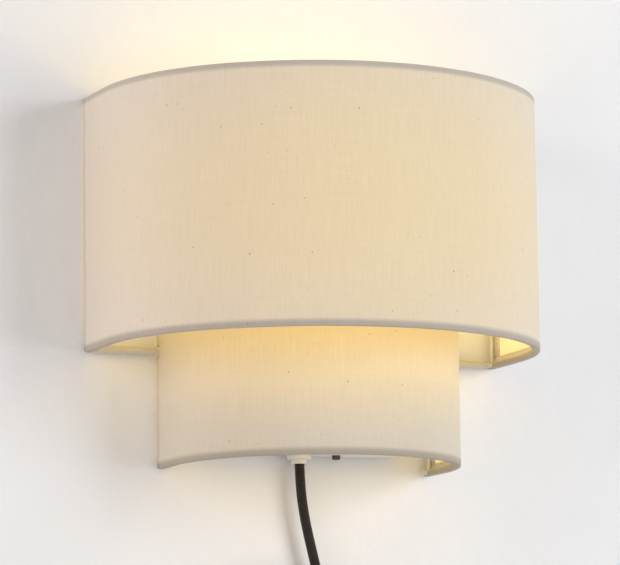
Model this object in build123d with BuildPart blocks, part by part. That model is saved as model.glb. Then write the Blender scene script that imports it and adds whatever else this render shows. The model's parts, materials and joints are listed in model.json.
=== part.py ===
"""Plug-in wall light with a two-tier fabric half shade.

Millimetres, +Z up. The wall is the plane Y = 0 and the light stands on its -Y side.
The origin is the middle of the wall screws' slots, on the wall.
"""

import os
from math import cos, pi, radians, sin, sqrt, tan

from build123d import *

os.makedirs("parts", exist_ok=True)

# ---------------------------------------------------------------- driving dimensions
# Shade tiers: D-shaped in plan, flat side to the wall
upper_width = 305.0
upper_depth = 178.0
upper_height = 172.0
upper_side = 39.0  # where the straight side ends, from the wall
upper_side_turn = 45.6  # degrees that each side arc turns, and the front arc turns the rest
upper_bottom_z = 36.0
lower_width = 202.0
lower_depth = 127.0
lower_side = 26.0
lower_side_turn = 49.0
lower_drop = 76.5  # below the upper tier's bottom
tier_overlap = 24.0  # the lower tier's top above the upper tier's bottom
shade_wall_gap = 1.0
bar_corner_radius = 5.0  # where a ring wire bends in to its back bar
fabric_thickness = 0.5
liner_thickness = 0.8
glue_gap = 0.05
ring_wire_radius = 1.6
stay_wire_radius = 1.2
spider_wire_radius = 1.5
weld_gap = 0.02
hem_turn = 8.0  # height of the hem that is turned inside
back_turn = 12.0  # how far the turned-in back edge reaches from the wall
bar_wrap_radius = 2.8
bar_notch_height = 6.0

# Back box and wall bracket
box_width = 146.0
box_height = 58.0
box_depth = 22.0
box_wall = 1.2
box_corner_radius = 5.0
box_edge_radius = 2.5
bracket_thickness = 1.5
bracket_width = 126.0
bracket_height = 44.0
wall_slot_spacing = 70.0
wall_slot_length = 12.0
wall_slot_width = 4.4
tab_gap = 0.1
hook_spacing = 90.0
hook_width = 10.0
hook_reach = 6.0
cover_screw_x = 26.0
cover_screw_y = -10.0
cover_screw_radius = 1.75
cover_screw_head_radius = 2.8
cover_screw_head_height = 2.8
screw_clearance = 0.05

# Cord grip
grip_x = -1.5
grip_y = -10.0
grip_flange_radius = 8.25
grip_flange_height = 3.5
grip_collar_radius = 5.5
grip_collar_height = 3.0
grip_shank_radius = 5.0
grip_shank_length = 8.0
grip_nut_size = 14.0
grip_nut_height = 4.0
bore_clearance = 0.1
grip_edge_radius = 1.0
grip_collar_edge_radius = 0.8
hook_slot_clearance = 0.35
nib_depth = 2.0
nib_rise = 0.6  # the hook's nib above the box's top
bracket_corner_radius = 3.0
tab_overlap = 1.0  # each tab's root, inside the bracket's plate
ear_margin = 3.0  # the screw tab's edge each side of a hook's width
ear_beyond_screw = 5.0
screw_edge_radius = 0.8
screw_slot_width = 0.8
screw_slot_depth = 0.8

# Lamp
lamp_y = -72.0
arm_radius = 5.0
arm_bore_radius = 4.0
arm_bend_radius = 22.0
arm_inside = 12.5  # the arm's inner end, from the wall
arm_top_z = 40.0
arm_collar_radius = 12.0
arm_collar_thickness = 3.0
arm_collar_edge_radius = 1.2
arm_nut_size = 14.0
arm_nut_height = 5.0
holder_cap_radius = 20.0
holder_neck_radius = 8.0
holder_skirt_radius = 19.3
holder_flange_radius = 23.0
holder_flange_thickness = 2.5
holder_wall = 2.0
holder_cap_height = 22.0
holder_neck_height = 5.0
holder_cone_height = 13.0  # where the cap's cone ends
holder_cap_floor = 1.8
holder_cone_wall = 1.2  # the cap's cone, measured upright
holder_lip_drop = 3.0
holder_lip_thickness = 1.5
holder_body_floor = 1.0
holder_flange_top = 27.5  # above the holder's base, as are the next two
holder_seat_height = 36.0
holder_height = 60.0
holder_core_radius = 17.2
holder_core_top = 34.0
holder_core_height = 10.0
holder_contact_radius = 3.8
shell_radius = 13.4  # inside, for a 26 mm screw cap
shell_wall = 0.5
shell_height = 24.0
shade_ring_radius = 26.0
shade_ring_height = 8.0
shade_ring_grooves = 20
shade_ring_groove_radius = 1.4
shade_ring_groove_offset = 0.4  # the grooves' centres, outside the ring
fitter_radius = 30.0
fitter_thickness = 1.5
fitter_gap = 0.4
back_arm_x = 25.5
front_arm_angle = 40.0
spider_bend_radius = 5.0
spider_sink = 0.2  # weld depth of the arms in the fitter plate
arm_end_setback = 1.2  # wire left beyond a ring that an arm lies on
bulb_radius = 30.0
bulb_length = 110.0
bulb_glass_wall = 0.8
bulb_cap_radius = 13.0
bulb_cap_height = 24.0
bulb_neck_radius = 14.0
bulb_neck_height = 3.0
bulb_thread_turns = 5
bulb_thread_pitch = 3.629  # seven turns to the inch
bulb_thread_depth = 0.7
bulb_cap_wall = 0.4
bulb_tip_radius = 4.8
bulb_tip_height = 1.5
bulb_tip_step = 1.0  # insulator round the tip
bulb_tip_stem_radius = 2.0
bulb_tip_stem_height = 2.0
running_gap = 0.3

# Wiring inside
lead_radius = 1.1
lead_spread = 1.6
connector_radius = 4.6
connector_length = 18.0
connector_z = 12.0
connector_x = 12.0
connector_y = -8.5
connector_bore = 2.9
connector_taper = 0.7  # radius at its closed end, as a share
connector_tip = 2.0
connector_tip_step = 1.0
core_straight = 6.0  # each core above the cord's end
core_splay_x = 7.0
core_splay_z = -5.0
lead_offset = 1.5  # each lead from the connector's axis
lead_bend_radius = 3.0

# Cord, switch and plug
cord_diameter = 6.4
bend_share = 0.45  # of the shorter run beside it that a bend in the cord takes
cord_top_z = -16.0
coil_gap = 0.45
coil_inner_radius = 24.5
coil_inward_turns = 3
coil_centre_x = -27.0
coil_centre_z = -167.0
crossing_slope = 1.6  # how steeply the inner turn crosses at its lowest point, against an even climb
tie_width = 9.0
tie_thickness = 1.0
tie_gap = 0.3
tie_slack = 1.4  # inside the turns, which curve under the tie
switch_length = 62.0
switch_width = 23.0
switch_end_width = 13.0
switch_thickness = 17.0
switch_wall = 2.0
switch_edge_radius = 2.5
switch_corner_radius = 2.5
switch_ear_size = (3.0, 4.5, 5.0)  # each block that the rocker's pin turns in
switch_ear_back = 0.5  # the ear's middle in front of the pin
rocker_pin_reach = 2.2  # into each ear
driver_slot_width = 0.8
driver_slot_depth = 0.6
switch_shank_short = 1.0  # of the front half's boss
switch_below_coil = 34.0
switch_shoulder = 34.0  # length of its full width
switch_cord_reach = 5.0  # cord inside each end
rocker_radius = 10.0  # its rounded ends, about the pin
rocker_width = 10.0
rocker_tilt = 7.0
rocker_depth = 4.0  # the pin behind the switch's front
rocker_edge_height = 5.0  # its raised edges, in front of the pin
rocker_dip_height = 4.4
rocker_back = 3.0
rocker_pin_radius = 1.0
rocker_gap = 0.35
pin_clearance = 0.1
switch_screw_radius = 1.3
switch_screw_head_radius = 2.4
switch_screw_head_height = 1.3
switch_boss_radius = 2.6
switch_screw_spacing = 40.0
plug_gap = 30.0  # cord between the switch and the plug
plug_width = 25.0
plug_thickness = 17.0
plug_length = 30.0
plug_relief_length = 22.0
plug_relief_radius = 5.2
plug_relief_ribs = 5
blade_spacing = 12.7
blade_thickness = 1.5
blade_width = 6.35
blade_length = 16.0
blade_seat = 8.0
blade_end_radius = 1.2
plug_side_radius = 5.0
plug_shoulder_radius = 4.0
plug_face_radius = 1.0
plug_grooves = 3
plug_groove_pitch = 4.0
plug_groove_width = 1.6
plug_groove_depth = 0.6
plug_relief_core = 4.5
plug_relief_sink = 1.0  # the relief's root inside the body

# ---------------------------------------------------------------- derived sizes
upper_top_z = upper_bottom_z + upper_height
lower_bottom_z = upper_bottom_z - lower_drop
lower_top_z = upper_bottom_z + tier_overlap
liner_inset = fabric_thickness + glue_gap
turn_inset = liner_inset + liner_thickness + glue_gap
ring_inset = turn_inset + ring_wire_radius
stay_inset = turn_inset + fabric_thickness + 2 * glue_gap + stay_wire_radius
hem_seat = fabric_thickness + glue_gap + ring_wire_radius  # ring centre above an edge
bar_y = -(shade_wall_gap + ring_inset)
bend_y = bar_y - bar_corner_radius
bar_corner = ring_inset + bar_corner_radius  # from a tier's side in to where its back bar starts
spider_z = lower_top_z - hem_seat + ring_wire_radius + spider_wire_radius + weld_gap
fitter_z = spider_z + spider_wire_radius - spider_sink
holder_base_z = fitter_z - holder_flange_top
bulb_z = holder_base_z + holder_seat_height + running_gap
box_bottom_z = -box_height / 2
box_top_z = box_height / 2
cord_radius = cord_diameter / 2
cord_pitch = cord_diameter + coil_gap


# ---------------------------------------------------------------- plan of a tier
def nose_radii(width, depth, side, side_turn):
    """Radii of a tier's two side arcs, and of the front arc that runs tangent into both."""
    along = cos(radians(side_turn))
    across = sin(radians(side_turn))
    side_radius = ((depth - side) * along - width / 2 * (1 - across)) / (along + across - 1)
    return side_radius, (width / 2 - side_radius * (1 - along)) / along


def nose_path(tier, inset, back_y):
    """Draw a tier's D in plan, moved inwards by inset, from its left side's end at back_y to its right's."""
    width, depth, side, side_turn = tier
    half = width / 2 - inset
    side_radius, front_radius = nose_radii(*tier)
    left_side = Line((-half, back_y), (-half, -side))
    left_arc = JernArc(left_side @ 1, (0, -1), side_radius - inset, side_turn)
    front_arc = JernArc(left_arc @ 1, left_arc % 1, front_radius - inset, 180 - 2 * side_turn)
    right_arc = JernArc(front_arc @ 1, front_arc % 1, side_radius - inset, side_turn)
    Line(right_arc @ 1, (half, back_y))


def skin_strip(z, tier, outer_inset, inner_inset, back_step=0.0, reach=None):
    """The strip between two insets of a tier's plan at a height, open at the back.

    Its ends stop back_step short of the skin's back edges. With a reach, only the strip's ends
    are kept, as far as that from the wall.
    """
    back_y = -shade_wall_gap - back_step
    with BuildSketch(Plane.XY.offset(z)) as strip:
        for inset, mode in ((outer_inset, Mode.ADD), (inner_inset, Mode.SUBTRACT)):
            with BuildLine():
                nose_path(tier, inset, back_y)
                Line((tier[0] / 2 - inset, back_y), (inset - tier[0] / 2, back_y))
            make_face(mode=mode)
        if reach:
            with Locations((0, -reach - tier[1] / 2)):
                Rectangle(tier[0], tier[1], mode=Mode.SUBTRACT)
    return strip.sketch


upper_tier = (upper_width, upper_depth, upper_side, upper_side_turn)
lower_tier = (lower_width, lower_depth, lower_side, lower_side_turn)


def corner_point(tier, inset, y):
    """The X at a given Y of the right back corner's bend, about the ring wire's own centre."""
    return tier[0] / 2 - bar_corner + sqrt((bar_corner - inset) ** 2 - (y - bend_y) ** 2)


# ---------------------------------------------------------------- where wires stand
upper_stay_angle = 45.0
upper_stay_reach = bar_corner - stay_inset
upper_stay_x = upper_width / 2 - bar_corner + upper_stay_reach * cos(radians(upper_stay_angle))
upper_stay_y = bend_y + upper_stay_reach * sin(radians(upper_stay_angle))
lower_stay_y = bar_y - ring_wire_radius - stay_wire_radius - weld_gap
lower_stay_x = corner_point(lower_tier, stay_inset, lower_stay_y)
upper_stays_at = [(-upper_stay_x, upper_stay_y), (upper_stay_x, upper_stay_y)]
lower_stays_at = [(-lower_stay_x, lower_stay_y), (lower_stay_x, lower_stay_y)]


def arm_foot(angle):
    """Where a front arm of the spider stands on the upper tier's bottom ring, in plan."""
    front_radius = nose_radii(*upper_tier)[1]
    radius = front_radius - ring_inset
    centre_y = front_radius - upper_depth
    away = centre_y - lamp_y
    along = cos(radians(angle))
    reach = sqrt((away * along) ** 2 + radius**2 - away**2) - away * along
    return (reach * sin(radians(angle)), lamp_y - reach * along)


front_arm_angles = [-front_arm_angle, 0.0, front_arm_angle]
arm_feet = [arm_foot(angle) for angle in front_arm_angles]


# ---------------------------------------------------------------- fabric skins
def rim_start_plane(tier):
    """The plane across a tier's rim where it starts at the left of the back: +X inwards, +Y up."""
    return Plane(origin=(-tier[0] / 2, -shade_wall_gap, 0), x_dir=(1, 0, 0), z_dir=(0, -1, 0))


def hem_outline(bottom_z, top_z):
    """Draw a skin's cross-section in (inset, z): outer face, and both hems rolled inside."""
    half_cloth = fabric_thickness / 2
    inner = turn_inset + 2 * ring_wire_radius + glue_gap + half_cloth
    on_liner = turn_inset + half_cloth
    roll = 2 * hem_seat
    fold = 0.3  # round the liner's edge
    round_wire = hem_seat / 2
    on_to_liner = ring_wire_radius
    points = [
        (on_liner, bottom_z + hem_turn),
        (on_liner, bottom_z + roll),
        (inner, bottom_z + roll),
        (inner, bottom_z + half_cloth),
        (half_cloth, bottom_z + half_cloth),
        (half_cloth, top_z - half_cloth),
        (inner, top_z - half_cloth),
        (inner, top_z - roll),
        (on_liner, top_z - roll),
        (on_liner, top_z - hem_turn),
    ]
    radii = [on_to_liner, on_to_liner, round_wire, fold, fold, round_wire, on_to_liner, on_to_liner]
    FilletPolyline(*points, radius=radii)


def turned_edges(tier, bottom_z, top_z):
    """Add the cloth that folds round the liner's back ends and is glued down inside, between the hems."""
    low_z = bottom_z + hem_turn - fabric_thickness
    height = top_z - hem_turn + fabric_thickness - low_z
    inner_inset = turn_inset + fabric_thickness
    extrude(skin_strip(low_z, tier, turn_inset, inner_inset, reach=back_turn), amount=height)
    extrude(skin_strip(low_z, tier, 0, inner_inset, reach=shade_wall_gap + fabric_thickness), amount=height)


def corner_reliefs(tier, bottom_z, top_z):
    """Cut the rolled hems away at the back corners, where the ring wire bends in to its back bar."""
    relief_height = hem_turn - fabric_thickness
    with Locations((0, 0, bottom_z), (0, 0, top_z - relief_height)):
        relief_align = (Align.CENTER, Align.MAX, Align.MIN)
        Box(tier[0] - 2 * turn_inset, -bend_y, relief_height, align=relief_align, mode=Mode.SUBTRACT)


def arm_holes():
    """Cut the upper tier's bottom hem open where the front arms stand in its roll."""
    with Locations(*[(x, y, upper_bottom_z + hem_seat) for x, y in arm_feet]):
        hole_align = (Align.CENTER, Align.CENTER, Align.MIN)
        Cylinder(spider_wire_radius + glue_gap, hem_turn - hem_seat, align=hole_align, mode=Mode.SUBTRACT)


def bar_notches():
    """Cut the lower tier's back corners open where the upper tier's back bar passes."""
    notch_depth = -bar_y + bar_wrap_radius
    with Locations((0, -notch_depth / 2, upper_bottom_z + hem_seat)):
        Box(lower_width + 1, notch_depth, bar_notch_height, mode=Mode.SUBTRACT)


with BuildPart() as upper_fabric:
    with BuildLine() as upper_rim:
        nose_path(upper_tier, 0, -shade_wall_gap)
    with BuildSketch(rim_start_plane(upper_tier)):
        with BuildLine():
            hem_outline(upper_bottom_z, upper_top_z)
        trace(line_width=fabric_thickness)
    sweep(path=upper_rim.line)
    corner_reliefs(upper_tier, upper_bottom_z, upper_top_z)
    turned_edges(upper_tier, upper_bottom_z, upper_top_z)
    arm_holes()
upper_fabric.part.label = "upper_fabric"
export_step(upper_fabric.part, "parts/upper_fabric.step")

with BuildPart() as lower_fabric:
    with BuildLine() as lower_rim:
        nose_path(lower_tier, 0, -shade_wall_gap)
    with BuildSketch(rim_start_plane(lower_tier)):
        with BuildLine():
            hem_outline(lower_bottom_z, lower_top_z)
        trace(line_width=fabric_thickness)
    sweep(path=lower_rim.line)
    corner_reliefs(lower_tier, lower_bottom_z, lower_top_z)
    turned_edges(lower_tier, lower_bottom_z, lower_top_z)
    bar_notches()
    notch_width = 2 * (spider_wire_radius + glue_gap)
    notch_floor = spider_z - spider_wire_radius - glue_gap
    for foot_x, foot_y in arm_feet:
        arm_line = Plane(origin=(0, lamp_y, notch_floor), x_dir=(foot_x, foot_y - lamp_y, 0), z_dir=(0, 0, 1))
        with BuildSketch(arm_line):
            with Locations((lower_depth / 2, 0)):
                Rectangle(lower_depth - 2 * fitter_radius, notch_width)
        extrude(amount=hem_seat, mode=Mode.SUBTRACT)
lower_fabric.part.label = "lower_fabric"
export_step(lower_fabric.part, "parts/lower_fabric.step")

# ---------------------------------------------------------------- liners
liner_edge = fabric_thickness + glue_gap

liner_back = liner_inset + liner_thickness

with BuildPart() as upper_liner:
    low_z = upper_bottom_z + liner_edge
    upper_band = skin_strip(low_z, upper_tier, liner_inset, liner_back, back_step=liner_edge)
    extrude(upper_band, amount=upper_height - 2 * liner_edge)
upper_liner.part.label = "upper_liner"
export_step(upper_liner.part, "parts/upper_liner.step")

with BuildPart() as lower_liner:
    low_z = lower_bottom_z + liner_edge
    lower_band = skin_strip(low_z, lower_tier, liner_inset, liner_back, back_step=liner_edge)
    extrude(lower_band, amount=lower_top_z - lower_bottom_z - 2 * liner_edge)
    bar_notches()
lower_liner.part.label = "lower_liner"
export_step(lower_liner.part, "parts/lower_liner.step")


# ---------------------------------------------------------------- wire frame
def ring_wire(tier, z, closed=True):
    """Sweep a tier's ring wire along its plan, closed by the back bar or open at the back."""
    bar_end = tier[0] / 2 - bar_corner
    with BuildLine(Plane.XY.offset(z)) as centreline:
        JernArc((-bar_end, bar_y), (-1, 0), bar_corner_radius, 90)
        nose_path(tier, ring_inset, bend_y)
        JernArc((tier[0] / 2 - ring_inset, bend_y), (0, 1), bar_corner_radius, 90)
        if closed:
            Line((bar_end, bar_y), (-bar_end, bar_y))
    with BuildSketch(Plane(origin=(-bar_end, bar_y, z), x_dir=(0, -1, 0), z_dir=(-1, 0, 0))) as section:
        Circle(ring_wire_radius)
    sweep(section.sketch, path=centreline.line)


with BuildPart() as upper_top_ring:
    ring_wire(upper_tier, upper_top_z - hem_seat)
upper_top_ring.part.label = "upper_top_ring"
export_step(upper_top_ring.part, "parts/upper_top_ring.step")

with BuildPart() as upper_bottom_ring:
    ring_wire(upper_tier, upper_bottom_z + hem_seat)
upper_bottom_ring.part.label = "upper_bottom_ring"
export_step(upper_bottom_ring.part, "parts/upper_bottom_ring.step")

with BuildPart() as lower_top_ring:
    ring_wire(lower_tier, lower_top_z - hem_seat)
lower_top_ring.part.label = "lower_top_ring"
export_step(lower_top_ring.part, "parts/lower_top_ring.step")

with BuildPart() as lower_bottom_ring:
    ring_wire(lower_tier, lower_bottom_z + hem_seat, closed=False)
lower_bottom_ring.part.label = "lower_bottom_ring"
export_step(lower_bottom_ring.part, "parts/lower_bottom_ring.step")

ring_to_stay = hem_seat + ring_wire_radius + weld_gap

with BuildPart() as upper_stays:
    with BuildSketch(Plane.XY.offset(upper_bottom_z + ring_to_stay)):
        with Locations(*upper_stays_at):
            Circle(stay_wire_radius)
    extrude(amount=upper_height - 2 * ring_to_stay)
upper_stays.part.label = "upper_stays"
export_step(upper_stays.part, "parts/upper_stays.step")

with BuildPart() as lower_stays:
    with BuildSketch(Plane.XY.offset(lower_bottom_z + ring_to_stay)):
        with Locations(*lower_stays_at):
            Circle(stay_wire_radius)
    extrude(amount=lower_top_z - lower_bottom_z - 2 * ring_to_stay)
lower_stays.part.label = "lower_stays"
export_step(lower_stays.part, "parts/lower_stays.step")

# Fitter plate and arms, welded into one piece. Front arms go out over the lower tier's top ring
# and down to the upper tier's bottom ring. Back arms end on the lower tier's back bar.
with BuildPart() as shade_spider:
    with BuildSketch(Plane.XY.offset(fitter_z)):
        with Locations((0, lamp_y)):
            Circle(fitter_radius)
            Circle(holder_skirt_radius + fitter_gap, mode=Mode.SUBTRACT)
    extrude(amount=fitter_thickness)
    arm_start = (fitter_radius + holder_flange_radius) / 2 - spider_wire_radius / 2
    for angle, (foot_x, foot_y) in zip(front_arm_angles, arm_feet):
        inner_x = arm_start * sin(radians(angle))
        inner_y = lamp_y - arm_start * cos(radians(angle))
        foot_z = upper_bottom_z + ring_to_stay
        with BuildLine() as front_arm:
            FilletPolyline(
                (inner_x, inner_y, spider_z),
                (foot_x, foot_y, spider_z),
                (foot_x, foot_y, foot_z),
                radius=spider_bend_radius,
            )
        with BuildSketch(Plane(front_arm.line @ 0, z_dir=front_arm.line % 0)):
            Circle(spider_wire_radius)
        sweep(path=front_arm.line)
    back_arm_end = bar_y + arm_end_setback
    with BuildSketch(Plane.XZ.offset(-back_arm_end)):
        with Locations((-back_arm_x, spider_z), (back_arm_x, spider_z)):
            Circle(spider_wire_radius)
    extrude(amount=back_arm_end - lamp_y)
shade_spider.part.label = "shade_spider"
export_step(shade_spider.part, "parts/shade_spider.step")

# Fabric sleeves on the upper tier's back bars: one along the top, and one each side of the
# lower tier along the bottom.
with BuildPart() as bar_wraps:
    sleeve_end = upper_width / 2 - bar_corner - glue_gap
    sleeve_start = lower_width / 2 + shade_wall_gap
    low_bar_z = upper_bottom_z + hem_seat
    high_bar_z = upper_top_z - hem_seat
    with BuildSketch(Plane.YZ.offset(-sleeve_end)):
        with Locations((bar_y, high_bar_z)):
            Circle(bar_wrap_radius)
            Circle(ring_wire_radius + glue_gap, mode=Mode.SUBTRACT)
    extrude(amount=2 * sleeve_end)
    for sleeve_x in (-sleeve_end, sleeve_start):
        with BuildSketch(Plane.YZ.offset(sleeve_x)):
            with Locations((bar_y, low_bar_z)):
                Circle(bar_wrap_radius)
                Circle(ring_wire_radius + glue_gap, mode=Mode.SUBTRACT)
        extrude(amount=sleeve_end - sleeve_start)
bar_wraps.part.label = "bar_wraps"
export_step(bar_wraps.part, "parts/bar_wraps.step")

# ---------------------------------------------------------------- wall bracket and back box
tab_top_z = box_top_z - box_wall - tab_gap
tab_bottom_z = box_bottom_z + box_wall + tab_gap
hook_places = [-hook_spacing / 2, hook_spacing / 2]

with BuildPart() as wall_bracket:
    with BuildSketch(Plane.XZ):
        RectangleRounded(bracket_width, bracket_height, bracket_corner_radius)
        with GridLocations(wall_slot_spacing, 0, 2, 1):
            SlotOverall(wall_slot_length, wall_slot_width, mode=Mode.SUBTRACT)
    extrude(amount=bracket_thickness)
    for hook_x in hook_places:
        with Locations((hook_x, 0, tab_top_z)):
            upright = tab_top_z - bracket_height / 2 + tab_overlap
            Box(hook_width, bracket_thickness, upright, align=(Align.CENTER, Align.MAX, Align.MAX))
            Box(hook_width, hook_reach, bracket_thickness, align=(Align.CENTER, Align.MAX, Align.MAX))
        with Locations((hook_x, nib_depth - hook_reach, tab_top_z)):
            rise = box_top_z + nib_rise - tab_top_z
            Box(hook_width, nib_depth, rise, align=(Align.CENTER, Align.MAX, Align.MIN))
    with Locations((cover_screw_x, 0, tab_bottom_z)):
        drop = -bracket_height / 2 - tab_bottom_z + tab_overlap
        ear_width = hook_width + 2 * ear_margin
        ear_reach = -cover_screw_y + ear_beyond_screw
        Box(ear_width, bracket_thickness, drop, align=(Align.CENTER, Align.MAX, Align.MIN))
        Box(ear_width, ear_reach, bracket_thickness, align=(Align.CENTER, Align.MAX, Align.MIN))
    with Locations((cover_screw_x, cover_screw_y, tab_bottom_z)):
        Cylinder(cover_screw_radius + screw_clearance, 4 * bracket_thickness, mode=Mode.SUBTRACT)
wall_bracket.part.label = "wall_bracket"
export_step(wall_bracket.part, "parts/wall_bracket.step")

with BuildPart() as back_box:
    with BuildSketch(Plane.XZ):
        RectangleRounded(box_width, box_height, box_corner_radius)
    extrude(amount=box_depth)
    fillet(back_box.faces().sort_by(Axis.Y)[0].edges(), radius=box_edge_radius)
    with BuildPart(mode=Mode.SUBTRACT) as box_inside:
        with BuildSketch(Plane.XZ):
            inside_size = (box_width - 2 * box_wall, box_height - 2 * box_wall)
            RectangleRounded(*inside_size, box_corner_radius - box_wall)
        extrude(amount=box_depth - box_wall)
        fillet(box_inside.faces().sort_by(Axis.Y)[0].edges(), radius=box_edge_radius - box_wall)
    with Locations((grip_x, grip_y, box_bottom_z)):
        Cylinder(grip_shank_radius + bore_clearance, 3 * box_wall, mode=Mode.SUBTRACT)
    with Locations((cover_screw_x, cover_screw_y, box_bottom_z)):
        Cylinder(cover_screw_radius + 2 * bore_clearance, 3 * box_wall, mode=Mode.SUBTRACT)
    with Locations((0, -box_depth, 0)):
        Cylinder(arm_radius + bore_clearance, 3 * box_wall, rotation=(90, 0, 0), mode=Mode.SUBTRACT)
    for hook_x in hook_places:
        with Locations((hook_x, nib_depth / 2 - hook_reach, box_top_z)):
            slot_size = (hook_width + 2 * hook_slot_clearance, nib_depth + 2 * bore_clearance, 3 * box_wall)
            Box(*slot_size, mode=Mode.SUBTRACT)
back_box.part.label = "back_box"
export_step(back_box.part, "parts/back_box.step")

with BuildPart() as cover_screw:
    with Locations((cover_screw_x, cover_screw_y, box_bottom_z)):
        Cylinder(
            cover_screw_head_radius, cover_screw_head_height, align=(Align.CENTER, Align.CENTER, Align.MAX)
        )
        Cylinder(cover_screw_radius, grip_shank_length, align=(Align.CENTER, Align.CENTER, Align.MIN))
    head_face = cover_screw.faces().sort_by(Axis.Z)[0]
    fillet(head_face.edges(), radius=screw_edge_radius)
    with Locations((cover_screw_x, cover_screw_y, box_bottom_z - cover_screw_head_height)):
        Box(2 * cover_screw_head_radius, screw_slot_width, 2 * screw_slot_depth, mode=Mode.SUBTRACT)
cover_screw.part.label = "cover_screw"
export_step(cover_screw.part, "parts/cover_screw.step")

with BuildPart() as cord_grip:
    with Locations((grip_x, grip_y, box_bottom_z)):
        Cylinder(grip_shank_radius, grip_shank_length, align=(Align.CENTER, Align.CENTER, Align.MIN))
        Cylinder(grip_flange_radius, grip_flange_height, align=(Align.CENTER, Align.CENTER, Align.MAX))
    flange_face = cord_grip.faces().sort_by(Axis.Z)[0]
    fillet(flange_face.edges(), radius=grip_edge_radius)
    with Locations((grip_x, grip_y, box_bottom_z - grip_flange_height)):
        Cylinder(grip_collar_radius, grip_collar_height, align=(Align.CENTER, Align.CENTER, Align.MAX))
    collar_face = cord_grip.faces().sort_by(Axis.Z)[0]
    fillet(collar_face.edges(), radius=grip_collar_edge_radius)
    with Locations((grip_x, grip_y, box_bottom_z)):
        Cylinder(cord_radius + bore_clearance, 4 * grip_shank_length, mode=Mode.SUBTRACT)
cord_grip.part.label = "cord_grip"
export_step(cord_grip.part, "parts/cord_grip.step")

with BuildPart() as cord_grip_nut:
    with BuildSketch(Plane.XY.offset(box_bottom_z + box_wall)):
        with Locations((grip_x, grip_y)):
            RegularPolygon(grip_nut_size / 2, 6, major_radius=False)
            Circle(grip_shank_radius + screw_clearance, mode=Mode.SUBTRACT)
    extrude(amount=grip_nut_height)
cord_grip_nut.part.label = "cord_grip_nut"
export_step(cord_grip_nut.part, "parts/cord_grip_nut.step")

# ---------------------------------------------------------------- wiring
with BuildPart() as wire_connectors:
    for side in (-1, 1):
        inner_end = side * connector_x
        outer_end = side * (connector_x + connector_length)
        cone_top = connector_taper * connector_radius
        with BuildSketch(Plane.XY):
            with BuildLine():
                Polyline(
                    (inner_end, 0),
                    (inner_end, connector_radius),
                    (outer_end - side * connector_tip, cone_top),
                    (outer_end, cone_top - connector_tip_step),
                    (outer_end, 0),
                    close=True,
                )
            make_face()
            with Locations((inner_end + side * connector_length / 4, connector_bore / 2)):
                Rectangle(connector_length / 2, connector_bore, mode=Mode.SUBTRACT)
        revolve(axis=Axis.X)
wire_connectors.part.label = "wire_connectors"
wire_connectors.part.position = (0, connector_y, connector_z)
export_step(wire_connectors.part, "parts/wire_connectors.step")

lead_end_x = connector_x + connector_length / 3
supply_lead_y = connector_y - lead_offset
lamp_lead_y = connector_y + lead_offset

with BuildPart() as supply_cores:
    for side in (-1, 1):
        core_x = grip_x + side * lead_spread
        with BuildLine() as core_line:
            FilletPolyline(
                (core_x, supply_lead_y, cord_top_z),
                (core_x, supply_lead_y, cord_top_z + core_straight),
                (side * core_splay_x, supply_lead_y, core_splay_z),
                (side * core_splay_x, supply_lead_y, connector_z),
                (side * lead_end_x, supply_lead_y, connector_z),
                radius=lead_bend_radius,
            )
        with BuildSketch(Plane(core_line.line @ 0, z_dir=core_line.line % 0)):
            Circle(lead_radius)
        sweep(path=core_line.line)
supply_cores.part.label = "supply_cores"
export_step(supply_cores.part, "parts/supply_cores.step")

lead_top_z = holder_base_z + holder_core_top - holder_core_height - glue_gap

with BuildPart() as lamp_leads:
    for side in (-1, 1):
        with BuildLine() as lead_line:
            FilletPolyline(
                (side * lead_end_x, lamp_lead_y, connector_z),
                (side * lead_spread, lamp_lead_y, connector_z),
                (side * lead_spread, lamp_lead_y, 0),
                (side * lead_spread, lamp_y, 0),
                (side * lead_spread, lamp_y, lead_top_z),
                radius=[lead_bend_radius, lead_bend_radius, arm_bend_radius],
            )
        with BuildSketch(Plane(lead_line.line @ 0, z_dir=lead_line.line % 0)):
            Circle(lead_radius)
        sweep(path=lead_line.line)
lamp_leads.part.label = "lamp_leads"
export_step(lamp_leads.part, "parts/lamp_leads.step")

# ---------------------------------------------------------------- lamp arm
with BuildPart() as lamp_arm:
    with BuildLine() as arm_line:
        FilletPolyline(
            (0, -arm_inside, 0), (0, lamp_y, 0), (0, lamp_y, arm_top_z), radius=arm_bend_radius
        )
    with BuildSketch(Plane.XZ.offset(arm_inside)):
        Circle(arm_radius)
        Circle(arm_bore_radius, mode=Mode.SUBTRACT)
    sweep(path=arm_line.line)
lamp_arm.part.label = "lamp_arm"
export_step(lamp_arm.part, "parts/lamp_arm.step")

with BuildPart() as arm_collar:
    with BuildSketch(Plane.XZ.offset(box_depth)):
        Circle(arm_collar_radius)
        Circle(arm_radius + screw_clearance, mode=Mode.SUBTRACT)
    extrude(amount=arm_collar_thickness)
    front_circles = arm_collar.edges().filter_by(GeomType.CIRCLE).group_by(Axis.Y)[0]
    fillet(front_circles.sort_by(SortBy.RADIUS)[-1], radius=arm_collar_edge_radius)
arm_collar.part.label = "arm_collar"
export_step(arm_collar.part, "parts/arm_collar.step")

with BuildPart() as arm_nut:
    with BuildSketch(Plane.XZ.offset(box_depth - box_wall - arm_nut_height)):
        RegularPolygon(arm_nut_size / 2, 6, major_radius=False)
        Circle(arm_radius + screw_clearance, mode=Mode.SUBTRACT)
    extrude(amount=arm_nut_height)
arm_nut.part.label = "arm_nut"
export_step(arm_nut.part, "parts/arm_nut.step")


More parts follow.
